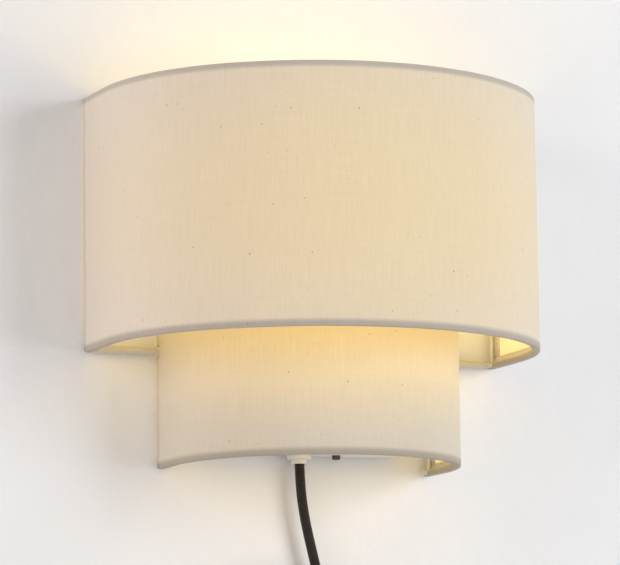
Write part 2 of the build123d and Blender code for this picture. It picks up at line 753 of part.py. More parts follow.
# ---------------------------------------------------------------- lampholder, in (radius, height)
def turned(points, base_z):
    """Revolve a closed outline about the lamp's axis, with heights from base_z."""
    with BuildSketch(Plane.XZ) as outline:
        with BuildLine():
            Polyline(*points, close=True)
        make_face()
    add(revolve(outline.sketch, axis=Axis.Z, mode=Mode.PRIVATE).moved(Location((0, lamp_y, base_z))))


cap_inside = holder_cap_radius - holder_wall
skirt_inside = holder_skirt_radius - holder_wall
lip_radius = cap_inside - bore_clearance
lip_inside = lip_radius - holder_lip_thickness
lip_bottom = holder_cap_height - holder_lip_drop
body_floor_top = holder_cap_height + holder_body_floor
cap_bore = arm_radius + screw_clearance
cap_floor_top = holder_neck_height + holder_cap_floor
flange_bottom = holder_flange_top - holder_flange_thickness

with BuildPart() as lampholder_cap:
    turned(
        [
            (cap_bore, 0),
            (holder_neck_radius, 0),
            (holder_neck_radius, holder_neck_height),
            (holder_cap_radius, holder_cone_height),
            (holder_cap_radius, holder_cap_height),
            (cap_inside, holder_cap_height),
            (cap_inside, holder_cone_height + holder_cone_wall),
            (holder_neck_radius - holder_wall / 2, cap_floor_top),
            (cap_bore, cap_floor_top),
        ],
        holder_base_z,
    )
lampholder_cap.part.label = "lampholder_cap"
export_step(lampholder_cap.part, "parts/lampholder_cap.step")

with BuildPart() as lampholder_body:
    turned(
        [
            (lip_radius, lip_bottom),
            (lip_radius, holder_cap_height),
            (holder_skirt_radius, holder_cap_height),
            (holder_skirt_radius, flange_bottom),
            (holder_flange_radius, flange_bottom),
            (holder_flange_radius, holder_flange_top),
            (holder_skirt_radius, holder_flange_top),
            (holder_skirt_radius, holder_height),
            (skirt_inside, holder_height),
            (skirt_inside, body_floor_top),
            (lip_inside, body_floor_top),
            (lip_inside, lip_bottom),
        ],
        holder_base_z,
    )
lampholder_body.part.label = "lampholder_body"
export_step(lampholder_body.part, "parts/lampholder_body.step")

with BuildPart() as lampholder_core:
    with Locations((0, lamp_y, holder_base_z + holder_core_top)):
        Cylinder(holder_core_radius, holder_core_height, align=(Align.CENTER, Align.CENTER, Align.MAX))
lampholder_core.part.label = "lampholder_core"
export_step(lampholder_core.part, "parts/lampholder_core.step")

with BuildPart() as lampholder_shell:
    with BuildSketch(Plane.XY.offset(holder_base_z + holder_core_top)):
        with Locations((0, lamp_y)):
            Circle(shell_radius + shell_wall)
            Circle(shell_radius, mode=Mode.SUBTRACT)
    extrude(amount=shell_height)
lampholder_shell.part.label = "lampholder_shell"
export_step(lampholder_shell.part, "parts/lampholder_shell.step")

with BuildPart() as lampholder_contact:
    with Locations((0, lamp_y, holder_base_z + holder_core_top)):
        contact_height = holder_seat_height - holder_core_top
        Cylinder(holder_contact_radius, contact_height, align=(Align.CENTER, Align.CENTER, Align.MIN))
lampholder_contact.part.label = "lampholder_contact"
export_step(lampholder_contact.part, "parts/lampholder_contact.step")

with BuildPart() as shade_ring:
    with BuildSketch(Plane.XY.offset(fitter_z + fitter_thickness)):
        with Locations((0, lamp_y)):
            Circle(shade_ring_radius)
            Circle(holder_skirt_radius + bore_clearance, mode=Mode.SUBTRACT)
            with PolarLocations(shade_ring_radius + shade_ring_groove_offset, shade_ring_grooves):
                Circle(shade_ring_groove_radius, mode=Mode.SUBTRACT)
    extrude(amount=shade_ring_height)
shade_ring.part.label = "shade_ring"
export_step(shade_ring.part, "parts/shade_ring.step")

# ---------------------------------------------------------------- bulb, heights from its tip
thread_root = bulb_cap_radius - bulb_thread_depth
thread_start = bulb_cap_height - bulb_neck_height - bulb_thread_turns * bulb_thread_pitch
thread_points = []
for turn_index in range(bulb_thread_turns):
    turn_z = thread_start + turn_index * bulb_thread_pitch
    thread_points += [(thread_root, turn_z), (bulb_cap_radius, turn_z + bulb_thread_pitch / 2)]
cap_outline = [(bulb_tip_radius + bulb_tip_step, bulb_tip_height), *thread_points]
cap_outline += [(thread_root, bulb_cap_height - bulb_neck_height), (thread_root, bulb_cap_height)]
cap_inner = [(radius - bulb_cap_wall, height + bulb_cap_wall) for radius, height in cap_outline[-2::-1]]

with BuildPart() as bulb_cap:
    turned([*cap_outline, (thread_root - bulb_cap_wall, bulb_cap_height), *cap_inner], bulb_z)
bulb_cap.part.label = "bulb_cap"
export_step(bulb_cap.part, "parts/bulb_cap.step")

with BuildPart() as bulb_contact:
    with Locations((0, lamp_y, bulb_z)):
        Cylinder(bulb_tip_radius, bulb_tip_height, align=(Align.CENTER, Align.CENTER, Align.MIN))
        stem_height = bulb_tip_height + bulb_tip_stem_height
        Cylinder(bulb_tip_stem_radius, stem_height, align=(Align.CENTER, Align.CENTER, Align.MIN))
bulb_contact.part.label = "bulb_contact"
export_step(bulb_contact.part, "parts/bulb_contact.step")

globe_z = bulb_length - bulb_radius


def bulb_side(wall):
    """Draw the glass's side, moved inwards by wall: neck, flare and a quarter of the globe."""
    radius = bulb_radius - wall
    start = (bulb_neck_radius - wall, bulb_cap_height + glue_gap)
    Spline(start, (radius, globe_z), tangents=((0, 1), (0, 1)), tangent_scalars=(1.0, 1.2))
    CenterArc((0, globe_z), radius, 0, 90)


with BuildPart() as bulb_glass:
    with BuildSketch(Plane.XZ):
        with BuildLine():
            bulb_side(0)
            bulb_side(bulb_glass_wall)
            neck_z = bulb_cap_height + glue_gap
            Line((bulb_neck_radius, neck_z), (bulb_neck_radius - bulb_glass_wall, neck_z))
            Line((0, bulb_length), (0, bulb_length - bulb_glass_wall))
        make_face()
    revolve(axis=Axis.Z)
bulb_glass.part.label = "bulb_glass"
bulb_glass.part.position = (0, lamp_y, bulb_z)
export_step(bulb_glass.part, "parts/bulb_glass.step")

# ---------------------------------------------------------------- cord
# The stretch from the grip to the coil follows these points (x, z), all at the grip's depth
coil_entry_x = coil_centre_x + coil_inner_radius + coil_inward_turns * cord_pitch
coil_exit_x = coil_entry_x + cord_pitch
coil_end = cord_diameter
cord_route = [
    (grip_x, cord_top_z),
    (grip_x, -42.0),
    (1.0, -68.0),
    (7.9, -98.0),
    (14.6, -124.0),
    (coil_entry_x, -147.0),
    (coil_entry_x, coil_centre_z + coil_end),
]


def bend_radii(points):
    """Bend radius at each inner point, from its share of the shorter run beside it."""
    radii = []
    for before, here, after in zip(points, points[1:], points[2:]):
        into = here - before
        out = after - here
        half_turn = radians(into.get_angle(out)) / 2
        radii.append(bend_share * min(into.length, out.length) / tan(half_turn))
    return radii


with BuildPart() as mains_cord:
    route_points = [Vector(x, grip_y, z) for x, z in cord_route]
    cord_bends = bend_radii(route_points)
    with BuildLine() as cord_line:
        FilletPolyline(*route_points, radius=cord_bends)
    with BuildSketch(Plane(cord_line.line @ 0, z_dir=cord_line.line % 0)):
        Circle(cord_radius)
    sweep(path=cord_line.line)
mains_cord.part.label = "mains_cord"
export_step(mains_cord.part, "parts/mains_cord.step")

# The coil lies in two layers. It winds inwards next to the wall and outwards in front, from
# the right-hand side and downwards. Half turns about two centres half a pitch apart make the
# spiral, and two quarter turns of biarcs carry the innermost turn to the front layer.
back_layer_y = grip_y
front_layer_y = grip_y - cord_pitch
coil_middle_y = (back_layer_y + front_layer_y) / 2


def half_turn(start_x, end_x, y, upper):
    """Draw half a turn in a layer, over the top or under the bottom."""
    middle_x = (start_x + end_x) / 2
    radius = abs(end_x - start_x) / 2
    crown_z = coil_centre_z + radius if upper else coil_centre_z - radius
    ThreePointArc((start_x, y, coil_centre_z), (middle_x, y, crown_z), (end_x, y, coil_centre_z))


def biarc(start, start_way, end, end_way):
    """Draw two arcs between two points, tangent to the ways given and to each other."""
    across = end - start
    ways = start_way + end_way
    square = 4 - ways.dot(ways)
    linear = across.dot(ways)
    reach = (sqrt(linear**2 + square * across.dot(across)) - linear) / square
    middle = (start + start_way * reach + end - end_way * reach) / 2
    first = TangentArc(start, middle, tangent=start_way)
    TangentArc(middle, end, tangent=first % 1)


with BuildPart() as cord_coil:
    right_x = coil_centre_x + coil_inner_radius
    left_x = coil_centre_x - coil_inner_radius
    with BuildLine() as coil_line:
        coil_start = Vector(coil_entry_x, back_layer_y, coil_centre_z)
        Line(coil_start + Vector(0, 0, coil_end), coil_start)
        for turn in range(coil_inward_turns, 0, -1):
            half_turn(right_x + turn * cord_pitch, left_x - turn * cord_pitch, back_layer_y, False)
            half_turn(left_x - turn * cord_pitch, right_x + (turn - 1) * cord_pitch, back_layer_y, True)
        crossing = Vector(coil_centre_x, coil_middle_y, coil_centre_z - coil_inner_radius)
        crossing_way = Vector(-1, -crossing_slope * cord_pitch / (pi * coil_inner_radius), 0).normalized()
        biarc(Vector(right_x, back_layer_y, coil_centre_z), Vector(0, 0, -1), crossing, crossing_way)
        biarc(crossing, crossing_way, Vector(left_x, front_layer_y, coil_centre_z), Vector(0, 0, 1))
        for turn in range(coil_inward_turns + 1):
            half_turn(left_x - turn * cord_pitch, right_x + (turn + 1) * cord_pitch, front_layer_y, True)
            if turn < coil_inward_turns:
                step = (turn + 1) * cord_pitch
                half_turn(right_x + step, left_x - step, front_layer_y, False)
        coil_finish = Vector(coil_exit_x, front_layer_y, coil_centre_z)
        Line(coil_finish, coil_finish - Vector(0, 0, coil_end))
    with BuildSketch(Plane(coil_line.line @ 0, z_dir=coil_line.line % 0)):
        Circle(cord_radius)
    sweep(path=coil_line.line)
cord_coil.part.label = "cord_coil"
export_step(cord_coil.part, "parts/cord_coil.step")

switch_top_z = coil_centre_z - switch_below_coil
switch_bottom_z = switch_top_z - switch_length
switch_z = (switch_top_z + switch_bottom_z) / 2
plug_top_z = switch_bottom_z - plug_gap
plug_body_top_z = plug_top_z - plug_relief_length
plug_bottom_z = plug_body_top_z - plug_length

with BuildPart() as cord_tail:
    with Locations((coil_exit_x, front_layer_y, coil_centre_z - coil_end)):
        tail_length = coil_centre_z - coil_end - switch_top_z + switch_cord_reach
        Cylinder(cord_radius, tail_length, align=(Align.CENTER, Align.CENTER, Align.MAX))
cord_tail.part.label = "cord_tail"
export_step(cord_tail.part, "parts/cord_tail.step")

with BuildPart() as cord_end:
    with Locations((coil_exit_x, front_layer_y, switch_bottom_z + switch_cord_reach)):
        end_length = plug_gap + 2 * switch_cord_reach
        Cylinder(cord_radius, end_length, align=(Align.CENTER, Align.CENTER, Align.MAX))
cord_end.part.label = "cord_end"
export_step(cord_end.part, "parts/cord_end.step")

with BuildPart() as cord_tie:
    tie_inner_z = coil_centre_z + coil_inner_radius - tie_slack
    tie_outer_z = coil_centre_z + coil_inner_radius + (coil_inward_turns + 1) * cord_pitch + tie_gap
    tie_depth = 2 * cord_pitch + tie_gap
    with BuildSketch(Plane.YZ.offset(coil_centre_x - tie_width / 2)):
        with Locations((coil_middle_y, (tie_inner_z + tie_outer_z) / 2)):
            RectangleRounded(
                tie_depth + 2 * tie_thickness, tie_outer_z - tie_inner_z + 2 * tie_thickness, cord_radius
            )
            RectangleRounded(
                tie_depth, tie_outer_z - tie_inner_z, cord_radius - tie_thickness, mode=Mode.SUBTRACT
            )
    extrude(amount=tie_width)
cord_tie.part.label = "cord_tie"
export_step(cord_tie.part, "parts/cord_tie.step")

# ---------------------------------------------------------------- in-line switch
switch_front_y = front_layer_y - switch_thickness / 2
switch_back_y = front_layer_y + switch_thickness / 2
pin_y = switch_front_y + rocker_depth
seam_gap = 0.05
switch_screw_z = [switch_z - switch_screw_spacing / 2, switch_z + switch_screw_spacing / 2]


def switch_outline(inset):
    """The switch's outline seen from the front, moved inwards, drawn about its middle."""
    half_length = switch_length / 2 - inset
    half_shoulder = switch_shoulder / 2 - inset / 2
    half_width = switch_width / 2 - inset
    half_end = switch_end_width / 2 - inset / 2
    with BuildSketch(Plane.XZ) as outline:
        with BuildLine():
            Polyline(
                (-half_end, -half_length),
                (half_end, -half_length),
                (half_width, -half_shoulder),
                (half_width, half_shoulder),
                (half_end, half_length),
                (-half_end, half_length),
                (-half_width, half_shoulder),
                (-half_width, -half_shoulder),
                close=True,
            )
        make_face()
        fillet(outline.vertices(), radius=switch_corner_radius)
    return outline.sketch


def switch_half(seam_y, outer_y):
    """Add half of the case: a tray between the seam and its outer face, with the cord's bores."""
    way = -1 if outer_y < seam_y else 1
    depth = abs(outer_y - seam_y)
    tray = extrude(switch_outline(0), amount=-way * depth, mode=Mode.PRIVATE)
    outer_face = tray.faces().sort_by(Axis.Y)[-1 if way > 0 else 0]
    tray = tray.fillet(switch_edge_radius, outer_face.edges())
    hollow = extrude(switch_outline(switch_wall), amount=-way * (depth - switch_wall), mode=Mode.PRIVATE)
    add((tray - hollow).moved(Location((coil_exit_x, seam_y, switch_z))))
    boss_depth = depth - switch_wall / 2
    for screw_z in switch_screw_z:
        with Locations((coil_exit_x, seam_y + way * boss_depth / 2, screw_z)):
            Cylinder(switch_boss_radius, boss_depth, rotation=(90, 0, 0))
    for end_z in (switch_top_z, switch_bottom_z):
        with Locations((coil_exit_x, front_layer_y, end_z)):
            Cylinder(cord_radius + bore_clearance, 3 * switch_wall, mode=Mode.SUBTRACT)


with BuildPart() as switch_front:
    switch_half(front_layer_y - seam_gap / 2, switch_front_y)
    ear_inner_x = rocker_width / 2 + rocker_gap
    for side in (-1, 1):
        ear_x = coil_exit_x + side * (ear_inner_x + switch_ear_size[0] / 2)
        with Locations((ear_x, pin_y - switch_ear_back, switch_z)):
            Box(*switch_ear_size)
    pin_bore = rocker_pin_radius + pin_clearance
    with Locations((coil_exit_x, pin_y, switch_z)):
        Cylinder(pin_bore, switch_width - 2 * switch_wall, rotation=(0, 90, 0), mode=Mode.SUBTRACT)
    with Locations((coil_exit_x, switch_front_y, switch_z)):
        Box(2 * ear_inner_x, 3 * switch_wall, 2 * (rocker_radius + rocker_gap), mode=Mode.SUBTRACT)
    for screw_z in switch_screw_z:
        with Locations((coil_exit_x, front_layer_y, screw_z)):
            Cylinder(
                switch_screw_radius + screw_clearance,
                switch_thickness - 3 * switch_wall,
                rotation=(90, 0, 0),
                mode=Mode.SUBTRACT,
            )
switch_front.part.label = "switch_front"
export_step(switch_front.part, "parts/switch_front.step")

recess_depth = switch_screw_head_height + bore_clearance
recess_radius = switch_screw_head_radius + bore_clearance
screw_bore = switch_screw_radius + screw_clearance

with BuildPart() as switch_back:
    switch_half(front_layer_y + seam_gap / 2, switch_back_y)
    for screw_z in switch_screw_z:
        with Locations((coil_exit_x, switch_back_y, screw_z)):
            Cylinder(screw_bore, 2 * switch_thickness, rotation=(90, 0, 0), mode=Mode.SUBTRACT)
            Cylinder(recess_radius, 2 * recess_depth, rotation=(90, 0, 0), mode=Mode.SUBTRACT)
switch_back.part.label = "switch_back"
export_step(switch_back.part, "parts/switch_back.step")

with BuildPart() as switch_screws:
    shank = switch_thickness / 2 + 2 * switch_wall - switch_shank_short
    from_head = (Align.CENTER, Align.CENTER, Align.MIN)
    for screw_z in switch_screw_z:
        head_y = switch_back_y - bore_clearance
        with Locations(Location((coil_exit_x, head_y, screw_z), (90, 0, 0))):
            Cylinder(switch_screw_head_radius, switch_screw_head_height, align=from_head)
            Cylinder(switch_screw_radius, shank, align=from_head)
        with Locations((coil_exit_x, head_y, screw_z)):
            Box(2 * switch_screw_head_radius, 2 * driver_slot_depth, driver_slot_width, mode=Mode.SUBTRACT)
            Box(driver_slot_width, 2 * driver_slot_depth, 2 * switch_screw_head_radius, mode=Mode.SUBTRACT)
switch_screws.part.label = "switch_screws"
export_step(switch_screws.part, "parts/switch_screws.step")

# The rocker is drawn level about its pin, with its depth as (z, forward), then tilted to ON
rocker_back_z = sqrt(rocker_radius**2 - rocker_back**2)
rocker_edge_z = sqrt(rocker_radius**2 - rocker_edge_height**2)

with BuildPart() as switch_rocker:
    with BuildSketch(Plane(origin=(-rocker_width / 2, 0, 0), x_dir=(0, 0, 1), z_dir=(1, 0, 0))):
        with BuildLine():
            low_edge = (-rocker_edge_z, rocker_edge_height)
            high_edge = (rocker_edge_z, rocker_edge_height)
            ThreePointArc((-rocker_back_z, -rocker_back), (-rocker_radius, 0), low_edge)
            Line(low_edge, (0, rocker_dip_height))
            Line((0, rocker_dip_height), high_edge)
            ThreePointArc(high_edge, (rocker_radius, 0), (rocker_back_z, -rocker_back))
            Line((rocker_back_z, -rocker_back), (-rocker_back_z, -rocker_back))
        make_face()
    extrude(amount=rocker_width)
    Cylinder(rocker_pin_radius, rocker_width + 2 * rocker_pin_reach, rotation=(0, 90, 0))
switch_rocker.part.label = "switch_rocker"
switch_rocker.part.location = Location((coil_exit_x, pin_y, switch_z), (rocker_tilt, 0, 0))
export_step(switch_rocker.part, "parts/switch_rocker.step")

# ---------------------------------------------------------------- plug
with BuildPart() as plug_body:
    with Locations((coil_exit_x, front_layer_y, plug_bottom_z)):
        Box(plug_width, plug_thickness, plug_length, align=(Align.CENTER, Align.CENTER, Align.MIN))
    fillet(plug_body.edges().filter_by(Axis.Z), radius=plug_side_radius)
    fillet(plug_body.faces().sort_by(Axis.Z)[-1].edges(), radius=plug_shoulder_radius)
    fillet(plug_body.faces().sort_by(Axis.Z)[0].edges(), radius=plug_face_radius)
    for side in (-1, 1):
        for groove in range(plug_grooves):
            groove_z = plug_bottom_z + plug_length / 3 + groove * plug_groove_pitch
            with Locations((coil_exit_x + side * plug_width / 2, front_layer_y, groove_z)):
                Box(2 * plug_groove_depth, plug_thickness, plug_groove_width, mode=Mode.SUBTRACT)
    rib_pitch = plug_relief_length / (plug_relief_ribs + 0.5)
    from_top = (Align.CENTER, Align.CENTER, Align.MAX)
    with Locations((coil_exit_x, front_layer_y, plug_top_z)):
        Cylinder(plug_relief_core, plug_relief_length + plug_relief_sink, align=from_top)
    for rib in range(plug_relief_ribs + 1):
        with Locations((coil_exit_x, front_layer_y, plug_top_z - rib * rib_pitch)):
            Cylinder(plug_relief_radius, rib_pitch / 2, align=from_top)
    with Locations((coil_exit_x, front_layer_y, plug_top_z)):
        Cylinder(cord_radius + bore_clearance, 2 * (switch_cord_reach + glue_gap), mode=Mode.SUBTRACT)
    for side in (-1, 1):
        with Locations((coil_exit_x + side * blade_spacing / 2, front_layer_y, plug_bottom_z)):
            seat_size = (blade_thickness + 2 * glue_gap, blade_width + 2 * glue_gap)
            Box(*seat_size, 2 * (blade_seat + glue_gap), mode=Mode.SUBTRACT)
plug_body.part.label = "plug_body"
export_step(plug_body.part, "parts/plug_body.step")

with BuildPart() as plug_blades:
    for side in (-1, 1):
        with Locations((coil_exit_x + side * blade_spacing / 2, front_layer_y, plug_bottom_z - blade_length)):
            Box(
                blade_thickness,
                blade_width,
                blade_length + blade_seat,
                align=(Align.CENTER, Align.CENTER, Align.MIN),
            )
    fillet(plug_blades.faces().group_by(Axis.Z)[0].edges().filter_by(Axis.X), radius=blade_end_radius)
plug_blades.part.label = "plug_blades"
export_step(plug_blades.part, "parts/plug_blades.step")

# ---------------------------------------------------------------- measurements
print("cord bend radii:", [round(radius, 1) for radius in cord_bends])
print("grip to coil:", round(cord_line.wire().length, 1), "mm")
coil_length = coil_line.wire().length
print("coil:", round(coil_length, 1), "mm in", 2 * coil_inward_turns + 1, "turns")
section_area = pi * cord_radius**2
print("coil tube against section x length:", round(cord_coil.part.volume / (section_area * coil_length), 4))
cord_total = cord_line.wire().length + coil_length + tail_length + end_length
print("cord in all, with the switch:", round(cord_total + switch_length - 2 * switch_cord_reach, 1), "mm")

sample_step = 2.0
sample_count = int(coil_length / sample_step)
coil_wire = coil_line.wire()
samples = [coil_wire @ (index / sample_count) for index in range(sample_count + 1)]
skipped = int(4 * cord_diameter / sample_step)
least = min(
    (samples[one] - samples[other]).length
    for one in range(len(samples))
    for other in range(one + skipped, len(samples))
)
print("coil's least gap to itself:", round(least - cord_diameter, 3), "mm")
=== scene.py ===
"""Looks of the plug-in wall light with a two-tier fabric half shade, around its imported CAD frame."""

import json
import math

import bmesh
import bpy
from mathutils import Matrix, Vector, noise


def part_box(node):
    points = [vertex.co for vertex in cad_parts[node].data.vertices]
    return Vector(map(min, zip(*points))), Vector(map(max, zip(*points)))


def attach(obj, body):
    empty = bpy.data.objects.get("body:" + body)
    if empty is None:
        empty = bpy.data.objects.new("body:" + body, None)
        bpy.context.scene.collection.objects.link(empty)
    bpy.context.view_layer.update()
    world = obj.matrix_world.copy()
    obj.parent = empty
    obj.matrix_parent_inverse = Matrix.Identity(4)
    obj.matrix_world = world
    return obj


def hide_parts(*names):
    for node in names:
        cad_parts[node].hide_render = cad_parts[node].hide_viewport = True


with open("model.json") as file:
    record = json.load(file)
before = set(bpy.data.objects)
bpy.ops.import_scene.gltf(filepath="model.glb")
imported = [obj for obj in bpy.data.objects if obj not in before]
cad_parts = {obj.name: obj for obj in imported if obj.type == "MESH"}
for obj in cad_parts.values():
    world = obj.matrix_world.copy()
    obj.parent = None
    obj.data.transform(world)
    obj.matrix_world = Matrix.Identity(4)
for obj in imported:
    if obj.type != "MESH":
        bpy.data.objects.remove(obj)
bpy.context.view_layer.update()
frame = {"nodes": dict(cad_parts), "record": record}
nodes = frame["nodes"]

MM = 0.001

# ---------------------------------------------------------------- sizes, as the CAD has them
# side is the straight run from the wall, and turn is how far the side arc turns, in degrees
UPPER = {
    "width": 305 * MM,
    "depth": 178 * MM,
    "side": 39 * MM,
    "turn": 45.6,
    "low": 36 * MM,
    "high": 208 * MM,
}
LOWER = {
    "width": 202 * MM,
    "depth": 127 * MM,
    "side": 26 * MM,
    "turn": 49.0,
    "low": -40.5 * MM,
    "high": 60 * MM,
}
WALL_GAP = 1 * MM  # from the wall to the shade's back edges
CLOTH = 0.5 * MM  # thickness
TURN_INSET = 1.4 * MM  # from the cloth's face to what is turned over the liner
WIRE_RADIUS = 1.6 * MM
HEM_SEAT = 2.15 * MM  # from a tier's edge to the middle of its ring wire
WIRE_CLEARANCE = 0.05 * MM
HEM_TURN = 8 * MM
BACK_TURN = 12 * MM
BAR_Y = -4.0 * MM  # the rings' straight back bars
BAR_CORNER = 8 * MM
BAR_WRAP_RADIUS = 2.8 * MM
BAR_NOTCH_HEIGHT = 6 * MM
LAMP_Y = -72 * MM
CORD_DIAMETER = 6.7 * MM  # over the braid

upper_bar_z = UPPER["high"] - HEM_SEAT
lower_bar_z = UPPER["low"] + HEM_SEAT


# ---------------------------------------------------------------- shader building
class Shader:
    """A node tree with short calls to add nodes and join them."""

    def __init__(self, tree):
        self.tree = tree
        self.tree.nodes.clear()

    def node(self, kind, links=None, **settings):
        made = self.tree.nodes.new(kind)
        for key, value in settings.items():
            setattr(made, key, value)
        for name, value in (links or {}).items():
            socket = made.inputs[name]
            if isinstance(value, bpy.types.NodeSocket):
                self.tree.links.new(value, socket)
            else:
                socket.default_value = value
        return made

    def math(self, operation, first, second=0.0, third=0.0):
        terms = {0: first, 1: second, 2: third}
        return self.node("ShaderNodeMath", terms, operation=operation).outputs[0]

    def blend(self, first, second, share):
        """The first value by its share, and the second by the rest."""
        rest = self.math("MULTIPLY", second, 1.0 - share)
        return self.math("ADD", self.math("MULTIPLY", first, share), rest)

    def mix(self, factor, first, second, blend="MIX"):
        made = self.tree.nodes.new("ShaderNodeMix")
        made.data_type = "RGBA"
        made.blend_type = blend
        for index, value in ((0, factor), (6, first), (7, second)):
            socket = made.inputs[index]
            if isinstance(value, bpy.types.NodeSocket):
                self.tree.links.new(value, socket)
            else:
                socket.default_value = value if index == 0 else rgba(value)
        return made.outputs[2]

    def ramp(self, value, low, high, to_low=0.0, to_high=1.0, smooth=True):
        kind = "SMOOTHSTEP" if smooth else "LINEAR"
        made = self.node(
            "ShaderNodeMapRange",
            {"Value": value, "From Min": low, "From Max": high, "To Min": to_low, "To Max": to_high},
            interpolation_type=kind,
        )
        return made.outputs["Result"]


def rgba(colour):
    return (*colour[:3], 1.0)


def group(name, inputs, outputs, build):
    """Make a shader node group with named sockets: inputs are (name, kind, default)."""
    tree = bpy.data.node_groups.new(name, "ShaderNodeTree")
    shader = Shader(tree)
    for label, kind, default in inputs:
        socket = tree.interface.new_socket(label, in_out="INPUT", socket_type="NodeSocket" + kind)
        if default is not None:
            socket.default_value = default
    for label, kind in outputs:
        tree.interface.new_socket(label, in_out="OUTPUT", socket_type="NodeSocket" + kind)
    entry = shader.node("NodeGroupInput")
    leave = shader.node("NodeGroupOutput")
    results = build(shader, entry.outputs)
    for label, value in results.items():
        tree.links.new(value, leave.inputs[label])
    return tree


# Slubs: noise scale per metre, and how far each streak is drawn out along its thread
UPRIGHT_SLUBS = ((900.0, 0.035), (2100.0, 0.05))
LEVEL_SLUBS = ((800.0, 0.03), (1900.0, 0.045))
COARSE_SHARE = 0.55
UPRIGHT_SHARE = 0.62
THREAD_RELIEF = 0.35
SLUB_RELIEF = 0.9
WANDER_SCALE = 90.0
CLOUD_SCALE = 26.0
# Flecks, in shares of the cell that each lies in
FLECK_HEIGHT_SCALE = 0.7
FLECK_SMALLEST = 0.022
FLECK_SPREAD = 0.055
FLECK_FAINTEST = 0.3


def build_woven(shader, given):
    """Plain weave on a UV map in metres: threads, uneven slubs along both ways, and dark flecks."""
    cloth = given["UV"]
    spread = shader.node("ShaderNodeSeparateXYZ", {0: cloth})
    wander = shader.node("ShaderNodeTexNoise", {"Vector": cloth, "Scale": WANDER_SCALE, "Detail": 2.0})
    shift = shader.math("MULTIPLY", shader.math("SUBTRACT", wander.outputs["Fac"], 0.5), given["Waver"])

    def thread_wave(along):
        phase = shader.math("MULTIPLY", shader.math("ADD", along, shift), given["Threads per metre"])
        return shader.math("SINE", shader.math("MULTIPLY", phase, math.tau))

    warp = thread_wave(spread.outputs[0])
    weft = thread_wave(spread.outputs[1])
    threads = shader.math("MULTIPLY_ADD", shader.math("MULTIPLY", warp, weft), 0.5, 0.5)

    def streaks(sizes, upright):
        """Coarse and fine slubs that run with one set of threads."""
        fields = []
        for scale, drawn in sizes:
            stretch = (1.0, drawn, 1.0) if upright else (drawn, 1.0, 1.0)
            placed = shader.node("ShaderNodeMapping", {"Vector": cloth, "Scale": stretch}).outputs[0]
            field = {"Vector": placed, "Scale": scale, "Detail": 3.0, "Roughness": 0.6}
            fields.append(shader.node("ShaderNodeTexNoise", field).outputs["Fac"])
        return shader.blend(fields[0], fields[1], COARSE_SHARE)

    slubs = shader.blend(streaks(UPRIGHT_SLUBS, True), streaks(LEVEL_SLUBS, False), UPRIGHT_SHARE)
    cloud = shader.node("ShaderNodeTexNoise", {"Vector": cloth, "Scale": CLOUD_SCALE, "Detail": 3.0})

    flattened = (1.0, FLECK_HEIGHT_SCALE, 1.0)
    cells = shader.node("ShaderNodeMapping", {"Vector": cloth, "Scale": flattened}).outputs[0]
    dots = shader.node(
        "ShaderNodeTexVoronoi", {"Vector": cells, "Scale": given["Flecks per metre"], "Randomness": 1.0}
    )
    chance = shader.node("ShaderNodeSeparateXYZ", {0: dots.outputs["Color"]})
    present = shader.math("LESS_THAN", chance.outputs[0], given["Fleck share"])
    size = shader.math("MULTIPLY_ADD", chance.outputs[1], FLECK_SPREAD, FLECK_SMALLEST)
    near = shader.math("LESS_THAN", dots.outputs["Distance"], size)
    strength = shader.math("MULTIPLY_ADD", chance.outputs[2], 1.0 - FLECK_FAINTEST, FLECK_FAINTEST)
    relief = shader.math("MULTIPLY", slubs, SLUB_RELIEF)
    return {
        "Slubs": slubs,
        "Cloud": cloud.outputs["Fac"],
        "Flecks": shader.math("MULTIPLY", shader.math("MULTIPLY", present, near), strength),
        "Height": shader.math("ADD", shader.math("MULTIPLY", threads, THREAD_RELIEF), relief),
    }


woven = group(
    "Woven cloth",
    [
        ("UV", "Vector", None),
        ("Threads per metre", "Float", 1500.0),
        ("Waver", "Float", 0.0004),
        ("Flecks per metre", "Float", 165.0),
        ("Fleck share", "Float", 0.75),
    ],
    [("Slubs", "Float"), ("Cloud", "Float"), ("Flecks", "Float"), ("Height", "Float")],
    build_woven,
)


SLOW_GRAIN = 35.0
SLEEVE_FUZZ = 2600.0


def build_grain(shader, given):
    """Fine moulded or painted grain, with a slow unevenness."""
    fine = shader.node(
        "ShaderNodeTexNoise", {"Vector": given["Place"], "Scale": given["Grain scale"], "Detail": 4.0}
    ).outputs["Fac"]
    slow = shader.node(
        "ShaderNodeTexNoise", {"Vector": given["Place"], "Scale": SLOW_GRAIN, "Detail": 3.0}
    ).outputs["Fac"]
    return {"Fine": fine, "Slow": slow}


grain = group(
    "Surface grain",
    [("Place", "Vector", None), ("Grain scale", "Float", 1500.0)],
    [("Fine", "Float"), ("Slow", "Float")],
    build_grain,
)


def build_braid(shader, given):
    """Braided sleeve on a UV map in metres, across the cord and along it."""
    spread = shader.node("ShaderNodeSeparateXYZ", {0: given["UV"]})
    around = shader.math("MULTIPLY", spread.outputs[0], given["Carriers"])
    along = shader.math("DIVIDE", spread.outputs[1], given["Pitch"])
    rising = shader.math("SINE", shader.math("MULTIPLY", shader.math("ADD", around, along), math.tau))
    falling = shader.math("SINE", shader.math("MULTIPLY", shader.math("SUBTRACT", around, along), math.tau))
    crossing = shader.math("MULTIPLY", rising, falling)
    fuzz = shader.node(
        "ShaderNodeTexNoise", {"Vector": given["UV"], "Scale": SLEEVE_FUZZ, "Detail": 2.0}
    ).outputs["Fac"]
    height = shader.math("MULTIPLY_ADD", crossing, 0.5, shader.math("MULTIPLY", fuzz, 0.35))
    return {"Strands": shader.math("MULTIPLY_ADD", crossing, 0.5, 0.5), "Fuzz": fuzz, "Height": height}


